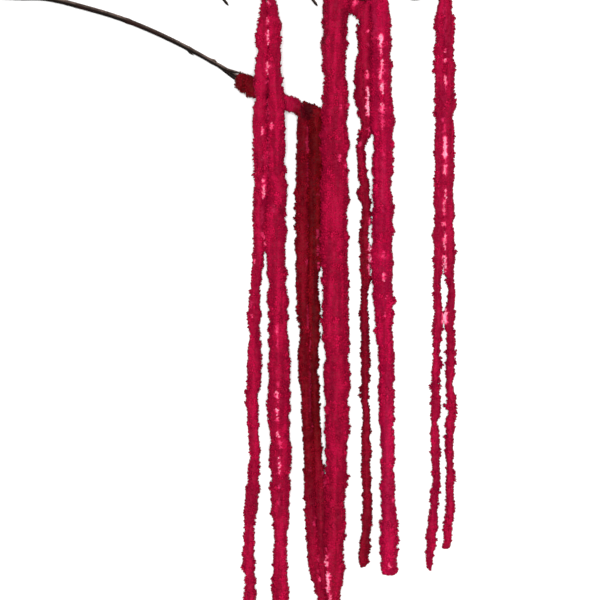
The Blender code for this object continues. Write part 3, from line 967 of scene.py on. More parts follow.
@dataclass(frozen=True)
class Flecks:
    """Chains of painted highlights and painted shade on the florets, laid out as seen from above. Lengths
    are in mm.

    A row is x, first y, last y, width and strength, where 1 is a full pale painted highlight and -1 full
    painted shade.
    """

    places: tuple[FleckRow, ...]
    spill: float = 0.4
    least_facing: float = -0.1
    grain: float = 1.9
    end_squareness: int = 6
    edge_gain: float = 2.2
    cloud_gain: float = 1.9
    least_share: float = 0.75

    def mark(self, mesh: bpy.types.Mesh, seed: int) -> None:
        """Stores each floret's painted light, from -1, full painted shade, to 1, a full pale painted
        highlight.

        Args:
            mesh: A tassel's finished mesh, with its florets' roots.
            seed: The seed of the draw.
        """
        roots = read_attribute(mesh, "root", 3) / MM
        facing = read_attribute(mesh, "facing", 1)
        _, floret = np.unique(roots, axis=0, return_inverse=True)
        floret = floret.reshape(-1)
        chance = np.random.default_rng(seed).random(floret.max() + 1)[floret]
        fade = np.zeros(len(roots))
        places = (roots / self.grain).tolist()
        for x, first, last, width, strength in self.places:
            aside = (roots[:, 0] - x) / (width / 2 + self.spill)
            ahead = (roots[:, 1] - (first + last) / 2) / (abs(first - last) / 2 + self.spill)
            apart = np.sqrt(aside**2 + ahead**self.end_squareness)
            near = np.flatnonzero((apart < 1) & (facing > self.least_facing))
            cloud = np.array([noise(places[i]) for i in near])
            share = np.clip(self.edge_gain * (1 - apart[near]) + self.cloud_gain * cloud, 0, 1)
            share *= self.least_share + (1 - self.least_share) * chance[near]
            stronger = share * abs(strength) > np.abs(fade[near])
            fade[near] = np.where(stronger, share * strength, fade[near])
        add_attribute(mesh, "fade", fade)


@dataclass(frozen=True)
class Tassel:
    """One seed tassel. Route rows are x, y, radius and the height of the underside over the table, in mm.

    Nudges are rows of a Nudge's values, all made from where the skin was before them.
    Ages are pairs of y in mm and age from 0 to 1, from the stem's side down, where 1 has the aged colours.
    """

    name: str
    finish: FloretFinish
    seed: int
    route: tuple[Row, ...]
    ages: tuple[tuple[float, float], ...] = ((0.0, 0.0),)
    nudges: tuple[NudgeRow, ...] = ()
    cover: FloretCover = FloretCover()

    def line(self) -> tuple[np.ndarray, np.ndarray]:
        """The centreline as close rows of x, y, z and radius, and the distance along it, in mm."""
        return smooth_curve([(x, y, lift + LIE * radius, radius) for x, y, radius, lift in self.route])

    def skin(self, solid: bpy.types.Mesh, others: BVHTree) -> bpy.types.Mesh:
        """The tassel's outer skin, closed where the socket for its stalk was.

        Args:
            solid: The mesh of the tassel's CAD node.
            others: The solids of the other tassels.

        Returns:
            A merged copy, with the direction to the tip and the age kept on its points.
        """
        rows, _ = self.line()
        mesh = self.closed_copy(solid)
        points = np.array([vert.co for vert in mesh.vertices]) / MM
        nearest = np.array([np.argmin(((rows[:, :3] - point) ** 2).sum(axis=1)) for point in points])
        shaped, pressed = self.shaped(points, rows[nearest], others)
        shaped += sum((Nudge(*row).shifts(shaped) for row in self.nudges), np.zeros_like(shaped))
        mesh.vertices.foreach_set("co", (shaped * MM).astype(np.float32).ravel())
        tangents = np.gradient(rows[:, :3], axis=0)
        tangents /= np.linalg.norm(tangents, axis=1)[:, None]
        places, ages = np.array(sorted(self.ages)).T
        add_attribute(mesh, "pressed", pressed)
        add_attribute(mesh, "tipward", tangents[nearest])
        add_attribute(mesh, "age", np.interp(rows[nearest, 1], places, ages))
        return mesh

    def socket(self) -> tuple[np.ndarray, np.ndarray]:
        """The middle of the socket's mouth, and the middle of its deep end, in mm."""
        rows, along = self.line()
        return rows[0, :3], np.array([np.interp(SOCKET_DEPTH, along, rows[:, i]) for i in range(3)])

    def closed_copy(self, solid: bpy.types.Mesh) -> bpy.types.Mesh:
        """A copy of the solid's mesh with its points merged and its socket closed.

        Args:
            solid: The mesh of the tassel's CAD node.

        Returns:
            The copy.
        """
        mouth, deep_end = map(Vector, self.socket())
        inward = (deep_end - mouth).normalized()
        bm = bmesh.new()
        bm.from_mesh(solid)
        bmesh.ops.remove_doubles(bm, verts=bm.verts, dist=MERGE * MM)
        socket = []
        for vert in bm.verts:
            deep = (vert.co / MM - mouth).dot(inward)
            aside = (vert.co / MM - mouth - inward * deep).length
            if deep < SOCKET_DEPTH + SOCKET_RADIUS and aside < SOCKET_RADIUS:
                socket.append(vert)
        bmesh.ops.delete(bm, geom=socket, context="VERTS")
        bmesh.ops.holes_fill(bm, edges=[edge for edge in bm.edges if edge.is_boundary], sides=0)
        bmesh.ops.recalc_face_normals(bm, faces=bm.faces)
        mesh = bpy.data.meshes.new(f"{self.name}_skin")
        bm.to_mesh(mesh)
        bm.free()
        drop_attributes(mesh, "custom_normal")
        return mesh

    @staticmethod
    def shaped(points: np.ndarray, rows: np.ndarray, others: BVHTree) -> tuple[np.ndarray, np.ndarray]:
        """Strengthens the relief, which smoothing will soften, and closes the seams to pressing neighbours.

        Args:
            points: The skin's points in mm.
            rows: The nearest centreline row of each point: x, y, z and radius in mm.
            others: The solids of the other tassels, in metres.

        Returns:
            The new points, and how hard each one is pressed, from 0 to 1.
        """
        spokes = points - rows[:, :3]
        reach, girth = np.linalg.norm(spokes, axis=1), rows[:, 3]
        relief = np.clip(reach / girth - 1, -MOST_RELIEF, MOST_RELIEF)
        longer = 1 + (RELIEF_GAIN * relief + CORE_SWELL) * girth / reach
        shaped = rows[:, :3] + spokes * longer[:, None]
        pressed = np.zeros(len(points))
        for i, point in enumerate(points):
            found, _, _, distance = others.find_nearest((point * MM).tolist(), FREE * MM)
            if found is None:
                continue
            apart = distance / MM
            share = min(1.0, (FREE - apart) / (FREE - PRESSED))
            pressed[i] = eased(share)
            met = point + (np.array(found) / MM - point) * (0.5 + BULGE / max(apart, BULGE))
            shaped[i] += (met - shaped[i]) * pressed[i]
        return shaped, pressed

    def build(
        self,
        solids: Mapping[str, bpy.types.Object],
        cover: bpy.types.NodeTree,
        material: bpy.types.Material,
        flecks: Flecks,
    ) -> bpy.types.Object:
        """Grows the florets on the tassel and gives it to the frame in place of its solid.

        Args:
            solids: The CAD nodes of all the tassels, by name.
            cover: The Geometry Nodes tree of the florets.
            material: The finish.
            flecks: Where the florets get painted highlights and painted shade.

        Returns:
            The finished piece.
        """
        others = surface_tree(solid.data for name, solid in solids.items() if name != self.name)
        obj = link_object(f"{self.name}_florets", self.skin(solids[self.name].data, others))
        values = {**self.cover.lengths(), "Seed": self.seed, "Material": material}
        skin = obj.data
        obj.data = grown_mesh(obj, cover, values)
        bpy.data.meshes.remove(skin)
        flecks.mark(obj.data, self.seed)
        drop_attributes(obj.data, *SPENT_ATTRIBUTES)
        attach(obj, BODY)
        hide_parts(self.name)
        return obj


@dataclass(frozen=True)
class Shoot:
    """One round length of stem. Route rows are x, y, z, radius, and nodes are distances along it, in mm.

    From red_from on, an x in mm, it has reddened.
    """

    route: tuple[Row, ...]
    nodes: tuple[float, ...] = ()
    pointed: bool = False
    cut: bool = False
    red_from: float = math.inf


@dataclass(frozen=True)
class Stem:
    """The main stem with its twigs, stubs, leaf scars and stalks, as ridged bark. Lengths are in mm."""

    name: str
    shoots: tuple[Shoot, ...]
    finish: BarkFinish = BarkFinish()
    ring_step: float = 1.6
    sides: int = 18
    node_swell: float = 0.16
    node_reach: float = 2.1875
    collar_swell: float = 0.2
    collar_reach: float = 5.0
    ridge_depth: float = 0.09
    ridges: int = 5
    wander_scale: float = 60.0
    wander_turn: float = 7.0
    pit_scale: float = 420.0
    wave_share: float = 0.6
    # Which side of the bark, by its facing in +Y, gets the painted highlight
    painted_highlight_ramp: Ramp = (-0.1, 0.7, 0.02, 1.0)
    taper: tuple[float, float] = (0.7, 0.08)
    cap_radii: tuple[float, float, float] = (0.9, 0.55, 0.03)
    cap_rises: tuple[float, float, float] = (0.06, 0.09, 0.1)
    cap_pith: tuple[float, float, float] = (0.3, 1.0, 1.0)

    def rows(self, shoot: Shoot) -> np.ndarray:
        """The rings along a shoot.

        Args:
            shoot: The shoot.

        Returns:
            Rows of x, y, z, radius and how near to the pith its surface is, from 0 to 1.
        """
        dense, along = smooth_curve(shoot.route)
        places = np.linspace(0, along[-1], max(3, round(along[-1] / self.ring_step)) + 1)
        rows = np.stack([np.interp(places, along, column) for column in dense.T], axis=1)
        for node in shoot.nodes:
            rows[:, 3] *= 1 + self.node_swell * np.exp(-(((places - node) / self.node_reach) ** 2))
        if not shoot.cut:
            rows[:, 3] *= 1 + self.collar_swell * np.exp(-places / self.collar_reach)
        rows = np.column_stack([rows, np.zeros(len(rows))])
        start = self.cap(rows[0], rows[1], self.cap_pith if shoot.cut else 0.0)
        if shoot.pointed:
            rows[-2:, 3] *= self.taper
            return np.vstack([start[::-1], rows])
        return np.vstack([start[::-1], rows, self.cap(rows[-1], rows[-2], self.cap_pith)])

    def cap(self, end: np.ndarray, before: np.ndarray, pith: tuple[float, ...] | float) -> np.ndarray:
        """The three rings that close a blunt end of a shoot.

        Args:
            end: The row of the shoot's last ring.
            before: The row next to it.
            pith: How near to the pith each ring is.

        Returns:
            The rows, outwards.
        """
        rings = np.repeat(end[None], 3, axis=0)
        rings[:, 3] *= self.cap_radii
        rings[:, 4] = pith
        outward = end[:3] - before[:3]
        rings[:, :3] += outward / np.linalg.norm(outward) * np.array(self.cap_rises)[:, None]
        return rings

    def lines(self) -> bpy.types.Mesh:
        """The centrelines of all the shoots, with what the tree reads kept on their points.

        Returns:
            A mesh of edges alone.
        """
        tables = [self.rows(shoot) for shoot in self.shoots]
        edges, start = [], 0
        for table in tables:
            edges += [(start + i, start + i + 1) for i in range(len(table) - 1)]
            start += len(table)
        rows = np.vstack(tables)
        mesh = bpy.data.meshes.new(f"{self.name}_lines")
        mesh.from_pydata((rows[:, :3] * MM).tolist(), edges, [])
        add_attribute(mesh, "thickness", rows[:, 3] * MM)
        add_attribute(mesh, "heart", rows[:, 4])
        red = [(table[:, 0] > shoot.red_from).astype(float) for table, shoot in zip(tables, self.shoots)]
        add_attribute(mesh, "blush", np.concatenate(red))
        return mesh

    def tree(self) -> bpy.types.NodeTree:
        """Builds the Geometry Nodes tree that turns centrelines into ridged bark.

        Returns:
            The tree.
        """
        tree = Tree(bpy.data.node_groups.new("ridged_bark", "GeometryNodeTree"))
        tree.socket("Geometry", "Geometry")
        tree.socket("Sides", "Int", self.sides)
        tree.socket("Ridges", "Float", float(self.ridges))
        tree.socket("Ridge Depth", "Float", self.ridge_depth)
        tree.socket("Material", "Material")
        tree.socket("Geometry", "Geometry", output=True)
        given = tree.add("NodeGroupInput").outputs
        curve = tree.out("GeometryNodeMeshToCurve", {"Mesh": given["Geometry"]})
        length = tree.pick(tree.add("GeometryNodeSplineParameter").outputs, "Length")
        curve = tree.stored(curve, "along", length)
        circle = {"Resolution": given["Sides"], "Radius": 1.0}
        round_profile = tree.out("GeometryNodeCurvePrimitiveCircle", circle)
        factor = tree.pick(tree.add("GeometryNodeSplineParameter").outputs, "Factor")
        profile = tree.stored(round_profile, "around", factor)
        sweep = {"Curve": curve, "Profile Curve": profile, "Scale": tree.named("thickness")}
        tube = tree.out("GeometryNodeCurveToMesh", {**sweep, "Fill Caps": True})
        tube = tree.stored(tube, "ridge", self.ridge_height(tree, given))
        # The side that faces +Y is marked for the bark's painted highlight
        outward = tree.add("ShaderNodeSeparateXYZ", {"Vector": tree.out("GeometryNodeInputNormal")})
        tube = tree.stored(tube, "painted_highlight_side", tree.ramp(outward.outputs["Y"], *self.painted_highlight_ramp))
        depth = tree.math("MULTIPLY", tree.named("thickness"), given["Ridge Depth"])
        rise = tree.math("MULTIPLY", tree.math("SUBTRACT", tree.named("ridge"), 0.5), depth)
        normal = tree.out("GeometryNodeInputNormal")
        raised = {"Geometry": tube, "Offset": tree.scaled(normal, rise)}
        tree.finish(tree.out("GeometryNodeSetPosition", raised), given["Material"])
        return tree.tree

    def ridge_height(self, tree: Tree, given: bpy.types.NodeOutputs) -> Socket:
        """Makes ridges that run along the bark and wander.

        Args:
            tree: The tree that is being built.
            given: The tree's inputs.

        Returns:
            The height, from 0 in a furrow to 1 on a ridge.
        """
        turn = tree.math("MULTIPLY", tree.named("around"), math.tau)
        along = {"W": tree.math("MULTIPLY", tree.named("along"), self.wander_scale), "Detail": 2.0}
        wander = tree.out("ShaderNodeTexNoise", along, noise_dimensions="1D")
        wander = tree.math("MULTIPLY", wander, self.wander_turn)
        angle = tree.math("ADD", tree.math("MULTIPLY", turn, given["Ridges"]), wander)
        wave = tree.math("ADD", tree.math("MULTIPLY", tree.math("SINE", angle), 0.5), 0.5)
        place = tree.out("GeometryNodeInputPosition")
        pits = tree.out("ShaderNodeTexNoise", {"Vector": place, "Scale": self.pit_scale, "Detail": 2.0})
        pits = tree.math("MULTIPLY", pits, 1 - self.wave_share)
        return tree.math("ADD", tree.math("MULTIPLY", wave, self.wave_share), pits)

    def build(self) -> bpy.types.Object:
        """Grows the bark and gives it to the frame in place of the stem's solid.

        Returns:
            The finished piece.
        """
        obj = link_object(f"{self.name}_bark", self.lines())
        lines = obj.data
        obj.data = grown_mesh(obj, self.tree(), {"Material": self.finish.material()})
        bpy.data.meshes.remove(lines)
        drop_attributes(obj.data, "thickness", "along", "around")
        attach(obj, BODY)
        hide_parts(self.name)
        return obj


@dataclass(frozen=True)
class Studio:
    """A pale floor, soft lights and a camera that looks straight down. Lengths are in metres."""

    view_centre: tuple[float, float] = (-0.0324, 0.0)
    camera_height: float = 1.503
    lens: float = 100.0
    floor_size: float = 12.0
    floor_colour: Colour = (0.93, 0.93, 0.93)
    floor_blotch: Colour = (0.9207, 0.9207, 0.9207)
    floor_roughness: float = 0.9
    floor_drop: float = 0.0002
    sky_strength: float = 0.5
    key_height: float = 2.6
    key_size: float = 1.0
    key_power: float = 73.0

    def camera(self) -> None:
        """Makes the camera."""
        data = bpy.data.cameras.new("overhead_camera")
        data.lens = self.lens
        camera = bpy.data.objects.new("overhead_camera", data)
        camera.location = (*self.view_centre, self.camera_height)
        bpy.context.scene.collection.objects.link(camera)
        bpy.context.scene.camera = camera

    def floor(self) -> None:
        """Makes the floor, a plain pale sheet."""
        bm = bmesh.new()
        bmesh.ops.create_grid(bm, x_segments=1, y_segments=1, size=self.floor_size / 2)
        mesh = bpy.data.meshes.new("floor")
        bm.to_mesh(mesh)
        bm.free()
        material, tree = new_material("pale_floor")
        cloud = tree.out("ShaderNodeTexNoise", {"Vector": material_place(tree), "Scale": 3.0})
        shader = tree.tree.nodes["Principled BSDF"]
        colour = tree.mix(cloud, opaque(self.floor_colour), opaque(self.floor_blotch))
        tree.feed(shader, "Base Color", colour)
        tree.feed(shader, "Roughness", self.floor_roughness)
        mesh.materials.append(material)
        floor = link_object("floor", mesh)
        floor.location.z = -self.floor_drop
        floor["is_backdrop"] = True

    def area_light(self, name: str, place: tuple[float, float, float], size: float, power: float) -> None:
        """Makes a soft square light that faces the spray.

        Args:
            name: The light's name.
            place: Where it is, in metres.
            size: Its side, in metres.
            power: Its power, in watts.
        """
        data = bpy.data.lights.new(name, "AREA")
        data.size = size
        data.energy = power
        light = bpy.data.objects.new(name, data)
        light.location = place
        towards = Vector((*self.view_centre, 0.0)) - Vector(place)
        light.rotation_euler = towards.to_track_quat("-Z", "Y").to_euler()
        bpy.context.scene.collection.objects.link(light)

    def lights(self) -> None:
        """Makes a large soft light straight above, and an even sky."""
        self.area_light("key_light", (*self.view_centre, self.key_height), self.key_size, self.key_power)
        world = bpy.data.worlds.new("soft_sky")
        world.use_nodes = True
        sky = world.node_tree.nodes["Background"]
        sky.inputs["Color"].default_value = (1.0, 1.0, 1.0, 1.0)
        sky.inputs["Strength"].default_value = self.sky_strength
        bpy.context.scene.world = world
        bpy.context.scene.view_settings.view_transform = "Standard"

    def build(self) -> None:
        """Builds the whole studio."""
        self.camera()
        self.floor()
        self.lights()


CRIMSON = FloretColours(deep=linear(128, 2, 44), body=linear(160, 3, 49), tip=linear(192, 9, 68))
WINE = FloretColours(deep=linear(102, 2, 17), body=linear(137, 5, 30), tip=linear(156, 11, 46))
# On the dark pair, the maroon of the aged parts is partly their dried colour and partly painted shade
MAROON = FloretColours(deep=linear(73, 0, 4), body=linear(112, 1, 9), tip=linear(130, 6, 25))

CRIMSON_FLORETS = FloretFinish(slot=Slot.CRIMSON, fresh=CRIMSON, aged=WINE)
DARK_FLORETS = FloretFinish(slot=Slot.DARK, fresh=CRIMSON, aged=MAROON)

# The thickest tassels have shorter and broader florets, so their outlines are smoother
SHORT_FLORETS = FloretCover(core_inset=0.55, grain_length=0.78, grain_width=0.94, cluster_spacing=2.45)

TASSELS = (
    Tassel(
        "tassel_left_thin", CRIMSON_FLORETS, seed=11,
        ages=((250.0, 0.35), (120.0, 0.2)),
        nudges=(
            (-72, 268, 6, 20, 2, 0), (-61.3, 136, 4, 30, 1.1, 0), (-62, 100, 4, 22, 1.4, 0),
            (-62.5, 60, 4, 20, 1.2, 0), (-64, 52, 4, 6, 1.4, 0), (-69, -73, 4.5, 12, 2.8, 0),
            (-74.5, 120.8, 4, 13, 2, 0), (-83, -255, 4.5, 14, 2.2, 0), (-75, 176, 4.5, 7, 1.8, 0),
            (-71, 249, 4.5, 8, 1.6, 0), (-78, -119, 4, 6, -2.2, 0),
            (-70.5, 264, 4.5, 7, 2, 0), (-80.5, -75, 4.5, 6, 2, 0), (-66, 50, 4, 6, 1.3, 0),
        ),
        route=(
            (-67, 277.5, 3.2, 8), (-67, 266, 4.6, 10), (-66, 243, 5.5, 12), (-66.5, 212, 5.9, 16),
            (-67.5, 185, 6.5, 17.5), (-68.2, 153, 6.6, 14), (-67.8, 104, 6.3, 5), (-69.5, 52, 5.2, 0),
            (-73, 0, 5.5, 0), (-73.5, -45, 6.0, 0), (-75.5, -90, 5.8, 0), (-73, -135, 4.6, 0),
            (-76, -180, 6.1, 0), (-78.5, -212, 5.0, 0), (-79, -232, 5.4, 0), (-78, -252, 6.2, 0),
            (-77, -275, 5.9, 0), (-75.5, -299, 4.2, 0),
        ),
    ),
    Tassel(
        "tassel_left_thick", CRIMSON_FLORETS, seed=12,
        ages=((0.0, 0.25),),
        cover=SHORT_FLORETS,
        nudges=(
            (-61.3, 136, 4, 30, -1.1, 0), (-60.5, 100, 5, 22, -1.8, 0), (-60, 64, 6, 26, -3, 0),
            (-42.5, 120, 6, 13, -3.6, 0), (-46.5, 50, 5, 14, 1.4, 0), (-43, -167.7, 5, 16, 2.6, 0),
            (-43.5, -72, 5, 14, 2.4, 0), (-60, -133.5, 4.5, 10, 1.6, 0), (-45, -258, 4.5, 18, 2, 0),
            (-60.5, -18.5, 4.5, 10, 1.6, 0), (-47, 203, 5, 8, -2.4, 0), (-46, 187, 5, 6, -2.4, 0),
            (-61, -81.6, 4.5, 8, -1.4, 0), (-42.5, -121.7, 4.5, 9, 1.5, 0), (-43, -41, 4.5, 14, 1.4, 0),
            (-44.5, -197, 4.5, 13, 2.2, 0), (-44, 75.8, 4.5, 8, -2.4, 0), (-62, 50, 4, 6, -1.3, 0),
        ),
        route=(
            (-59, 277.5, 3.2, 8), (-57.5, 266, 4.9, 10), (-55.5, 243, 6.2, 12), (-54.5, 212, 6.6, 16),
            (-54, 185, 7.7, 17), (-53.5, 153, 8.0, 13), (-51.5, 100, 8.6, 4), (-54, 50, 8.2, 0),
            (-52.5, 0, 8.8, 0), (-51.5, -63, 9.8, 0), (-51.5, -108, 10.2, 0), (-50.5, -140, 9.6, 0),
            (-50.8, -180, 7.8, 0), (-49.8, -216, 6.5, 0), (-50.5, -250, 6.8, 0), (-50.5, -280, 6.2, 0),
            (-51.5, -315, 4.4, 0),
        ),
    ),
    Tassel(
        "tassel_dark_outer", DARK_FLORETS, seed=13,
        # High ages give maroon that is partly dried colour and partly painted shade
        ages=(
            (190.5, 1.0), (186.5, 0.1), (176.0, 0.1), (168.5, 0.85), (-150.0, 0.9), (-190.0, 0.55),
            (-280.0, 0.35),
        ),
        nudges=(
            (-31, 179, 8, 7, 1, 2.8), (-41, 187, 8, 6, 0, -2.8), (-44, 171, 9, 7, 0, -2.4),
            (-36.5, 165, 5, 7, 1.6, 1.8), (-77, 184, 8, 6, 0, -4), (-88, 192.5, 7, 8, -3.2, -3.2),
            (-86, 204, 6, 5, -1.5, 1.8), (-25, 83, 3.5, 9, 1, 0), (-36, -28, 5, 18, 3, 0),
            (-35.5, 82, 4.5, 15, -1.8, 0), (-85, 187.5, 5, 4, 1, 2.4), (-36, 44, 4.5, 8, -1.3, 0),
        ),
        route=(
            (-88, 200, 3.2, 5.6), (-83, 196.5, 7.4, 4.0), (-76, 192, 8.5, 3.8), (-63, 186.5, 7.0, 4.0),
            (-50, 181.5, 6.2, 4.4), (-40, 176.5, 6.0, 5.4), (-32.5, 168, 5.7, 4.6), (-30, 155, 5.8, 1.6),
            (-30.5, 126, 5.9, 0), (-30.5, 45, 5.8, 0), (-30.3, -9, 5.9, 0), (-29.5, -45, 6.0, 0),
            (-26.3, -99, 5.2, 0), (-24.5, -135, 5.2, 0), (-23.4, -180, 5.4, 0), (-21.5, -216, 5.4, 0),
            (-20.3, -234, 5.2, 0), (-17.2, -252, 4.9, 0), (-14, -267, 4.0, 0), (-11.5, -282, 2.8, 0),
        ),
    ),
    Tassel(
        "tassel_dark_inner", DARK_FLORETS, seed=14,
        # High ages give maroon that is partly dried colour and partly painted shade
        ages=((-120.0, 1.0), (-170.0, 0.7), (-250.0, 0.4)),
        nudges=(
            (-13.5, 168, 7, 12, 2.6, 2), (-13, 98, 6, 85, 1.2, 0), (-13.5, 155, 5, 10, 1.4, 0),
            (-24.6, 83, 3.5, 9, -1, 0), (-16, -22, 4.5, 22, 1.8, 0), (-14.5, 35, 4.5, 14, 2, 0),
            (-15.5, -7.7, 4, 6, 1.8, 0),
        ),
        route=(
            (-31, 176.2, 3.1, 0.2), (-25.8, 174, 4.6, 0), (-21.0, 168.4, 5.5, 0), (-19.0, 158, 5.8, 0),
            (-19.4, 108, 5.8, 0), (-19.8, 45, 5.4, 0), (-20.5, 0, 4.9, 0), (-20.3, -45, 4.7, 0),
            (-18.0, -99, 4.0, 0), (-16.2, -135, 4.2, 0), (-14.4, -180, 4.6, 0), (-13.2, -216, 4.2, 0.6),
            (-12.6, -240, 3.8, 2.5), (-11.5, -262, 2.6, 3.5),
        ),
    ),
    Tassel(
        "tassel_main", CRIMSON_FLORETS, seed=62,
        ages=((-120.0, 0.3), (-200.0, 0.5)),
        cover=SHORT_FLORETS,
        nudges=(
            (-13, 112, 8, 110, -2, 0), (-12.5, 78, 5, 20, -1.2, 0), (11.5, 215, 6, 32, -1.2, 0),
            (-12, -22, 4.5, 20, -1.2, 0), (-12, 188, 5, 18, 3.2, 0), (10.5, 252.5, 4.5, 7, 2.4, 0),
            (-12, 35, 4.5, 14, -2, 0), (-12, 247.5, 4.5, 7, -1.8, 0), (10.5, -154, 4.5, 8, -1.6, 0),
            (11, -8, 4.5, 8, 1.4, 0), (-10.5, -7.7, 4, 6, -1.8, 0), (9.5, 40, 4.5, 8, 1.6, 0),
        ),
        route=(
            (11.5, 279.5, 3.4, 7), (6.2, 276.8, 8.0, 3.2), (1.2, 269.5, 10.8, 1.0), (-0.8, 258, 11.5, 0.2),
            (-1, 243, 11.4, 0), (-1.2, 216, 11.6, 0), (-0.6, 171, 11.4, 0), (-0.6, 90, 11.3, 0),
            (-0.8, 30, 11.4, -1.6), (-0.5, 0, 11.6, -2), (0.3, -45, 11.4, -1.4), (0.6, -90, 11.2, 0),
            (0.2, -135, 10.2, 0), (-0.8, -180, 9.8, 0), (-1.4, -216, 9.2, 0), (-2.2, -250, 8.0, 0),
            (-2.6, -272, 6.4, 0), (-3.2, -305, 3.4, 0),
        ),
    ),
    Tassel(
        "tassel_middle_thin", DARK_FLORETS, seed=16,
        ages=((60.0, 0.75), (150.0, 0.45), (250.0, 0.3)),
        nudges=(
            (27, 262, 9, 14, 4, 3.5), (31, 188, 6, 26, 1.2, 0), (29.5, 166, 5, 13, 1.8, 0),
            (29.5, 70, 5, 6, 2, 0), (29.5, 34, 5, 22, 1.9, 0), (20.5, 138, 5, 10, -1.2, 0),
            (28.5, 137, 5, 13, -1.6, 0), (24, 130, 14, 32, -2, 0), (26, 82, 12, 12, 1.2, 0),
            (30.5, 150, 4.5, 9, 3, 0), (16.5, 261, 8, 5, 0, -3), (26, 265, 6, 7, 2, 2.5),
            (20.5, 94, 5, 7, -2.6, 0), (29.5, 93, 5, 6, 1.6, 0), (29, 59, 4.5, 7, -1.8, 0),
            (19.5, 151, 4.5, 18, 3, 0), (21, 70, 4, 15, 1.8, 0), (18.5, 207.4, 4.5, 10, -2.6, 0),
            (22, -110, 4, 13, 2.2, 0), (30, 14.4, 4, 7, 2.2, 0), (20, 109.6, 4, 11, 2, 0),
            (30.5, -133, 4, 14, 2, 0), (29, -223, 4, 8, 2.4, 0), (17, 181.7, 4.5, 7, -1.8, 0),
            (19, 253, 4.5, 6, 2.6, 0), (22.5, -139, 4, 7, 1.6, 0), (27, -238, 4, 7, 2, 0),
            (30, -114, 4, 7, 1.5, 0),
        ),
        route=(
            (16, 271.5, 3.1, 6.6), (16, 264.8, 6.2, 2.6), (21.8, 256.8, 6.2, 1), (25, 246, 6.4, 0),
            (25.2, 230, 6.4, 0), (24.8, 207, 6.7, 0), (23.6, 182, 6.8, 0), (25, 157, 5.0, 0),
            (25, 121, 4.8, 0), (25.2, 54, 4.6, 0), (25.5, 0, 3.6, 0), (26.3, -45, 4.2, 0),
            (26, -90, 4.2, 0), (26, -135, 4.2, 0), (28.2, -180, 4.4, 0), (26.5, -212, 4.6, 0),
            (24, -228, 4.0, 0), (23.4, -243, 3.6, 0),
        ),
    ),
    Tassel(
        "tassel_middle_thick", CRIMSON_FLORETS, seed=27,
        cover=SHORT_FLORETS,
        nudges=(
            (32, 260, 7, 16, -3, 0), (31.5, 188, 6, 26, -1.5, 0), (32.5, 164, 6, 12, -1.4, 0),
            (32.5, 70, 6, 6, -1.4, 0), (32.5, 34, 6, 20, -1.5, 0), (33, 136, 5, 14, 1.4, 0),
            (32, 150, 4.5, 9, -2.6, 0), (33, 82, 5, 9, 1.4, 0), (30, 268.5, 6, 6, -2.5, -1.5),
            (51.5, 214.5, 5, 8, -2.4, 0), (39.5, -106, 4.5, 11, -2.6, 0), (33.5, 14.4, 4, 7, -2.2, 0),
            (50.5, 63, 4.5, 10, 2, 0), (51, 151.5, 4.5, 10, 1.8, 0), (39.3, -78, 4.5, 8, -2, 0),
            (53, -244, 5, 8, 3.2, 0), (41.5, -246, 5, 7, -2.6, 0), (36.5, -27.5, 4.5, 9, -1.5, 0),
            (49.5, 257, 4.5, 8, -1.6, 0), (54, -196.6, 4.5, 7, 1.8, 0), (50.5, 21, 4.5, 8, 1.4, 0),
            (51.5, 94, 4.5, 6, -1.4, 0), (50.5, -63.6, 4.5, 8, 2.2, 0), (40, -126, 4, 7, -1.5, 0),
        ),
        route=(
            (28, 271.2, 3.3, 6.8), (33.2, 272.3, 5.2, 4.0), (38.6, 269.6, 7.1, 1.6),
            (40.9, 259.5, 8.5, 0.2), (40.8, 245, 9.3, 0), (40.8, 207, 9.4, 0), (41.9, 153, 9.6, 0),
            (41.5, 90, 9.4, 0),
            (41.5, 36, 9.4, 0), (42.5, 0, 8.8, 0), (43.8, -27, 7.4, 0), (45, -54, 6.7, 0),
            (46, -90, 6.4, 0), (46.5, -135, 6.2, 0), (46.5, -170, 6.6, 0), (47, -205, 7.6, 0),
            (47.2, -230, 7.8, 0), (46.8, -250, 7.2, 0),
        ),
    ),
    Tassel(
        "tassel_right_long", CRIMSON_FLORETS, seed=18,
        ages=((0.0, 0.15),),
        nudges=(
            (88, 268, 5, 12, 2.2, 0), (95, -16.5, 4, 9, 3.1, 0), (85.5, -159.6, 4, 14, 2.4, 0),
            (96, 14.4, 4, 11, -2, 0), (94, -112.7, 4, 9, -2.6, 0), (93, -89, 4, 9, 1.6, 0),
            (88.5, -219.6, 4, 9, 2.6, 0), (95, -69.5, 4, 12, -1.5, 0), (95.5, -43, 4, 17, -1.2, 0),
            (94.5, -78, 4, 5, -1.6, 0), (88, 234, 4.5, 13, 2.4, 0), (82.5, -194, 4.5, 10, 1.2, 0),
            (88, 109, 4, 7, 1.8, 0), (88.5, 57, 4, 7, -1.6, 0),
        ),
        route=(
            (94.5, 275.5, 3.0, 1.5), (93.6, 265, 4.4, 0.5), (92.8, 250, 4.8, 0), (92.8, 216, 4.8, 0),
            (93.4, 171, 4.8, 0), (92.8, 108, 5.0, 0), (92.4, 54, 4.8, 0), (91.2, 0, 3.8, 0),
            (91, -45, 4.2, 0), (89.6, -90, 4.4, 0), (89.5, -126, 4.4, 0), (88.2, -180, 4.6, 0),
            (85.2, -216, 4.4, 0), (84, -232, 3.6, 0), (84.8, -246, 3.4, 0),
        ),
    ),
    Tassel(
        "tassel_right_short", CRIMSON_FLORETS, seed=19,
        ages=((0.0, 0.25),),
        nudges=(
            (106.5, 264, 5, 8, -2.5, 0), (98.5, -16.5, 4, 9, -3.1, 0), (107.5, 177.5, 4, 4.5, 2.4, 0),
            (107, 164.5, 4, 6, -1.2, 0), (99, 14.4, 4, 11, 2, 0), (99, -96.9, 4, 9, 2.8, 0),
            (106, 52, 4, 11, 1.8, 0), (106.5, 7, 4, 8, 2, 0), (107, -128, 4, 8, -1.8, 0),
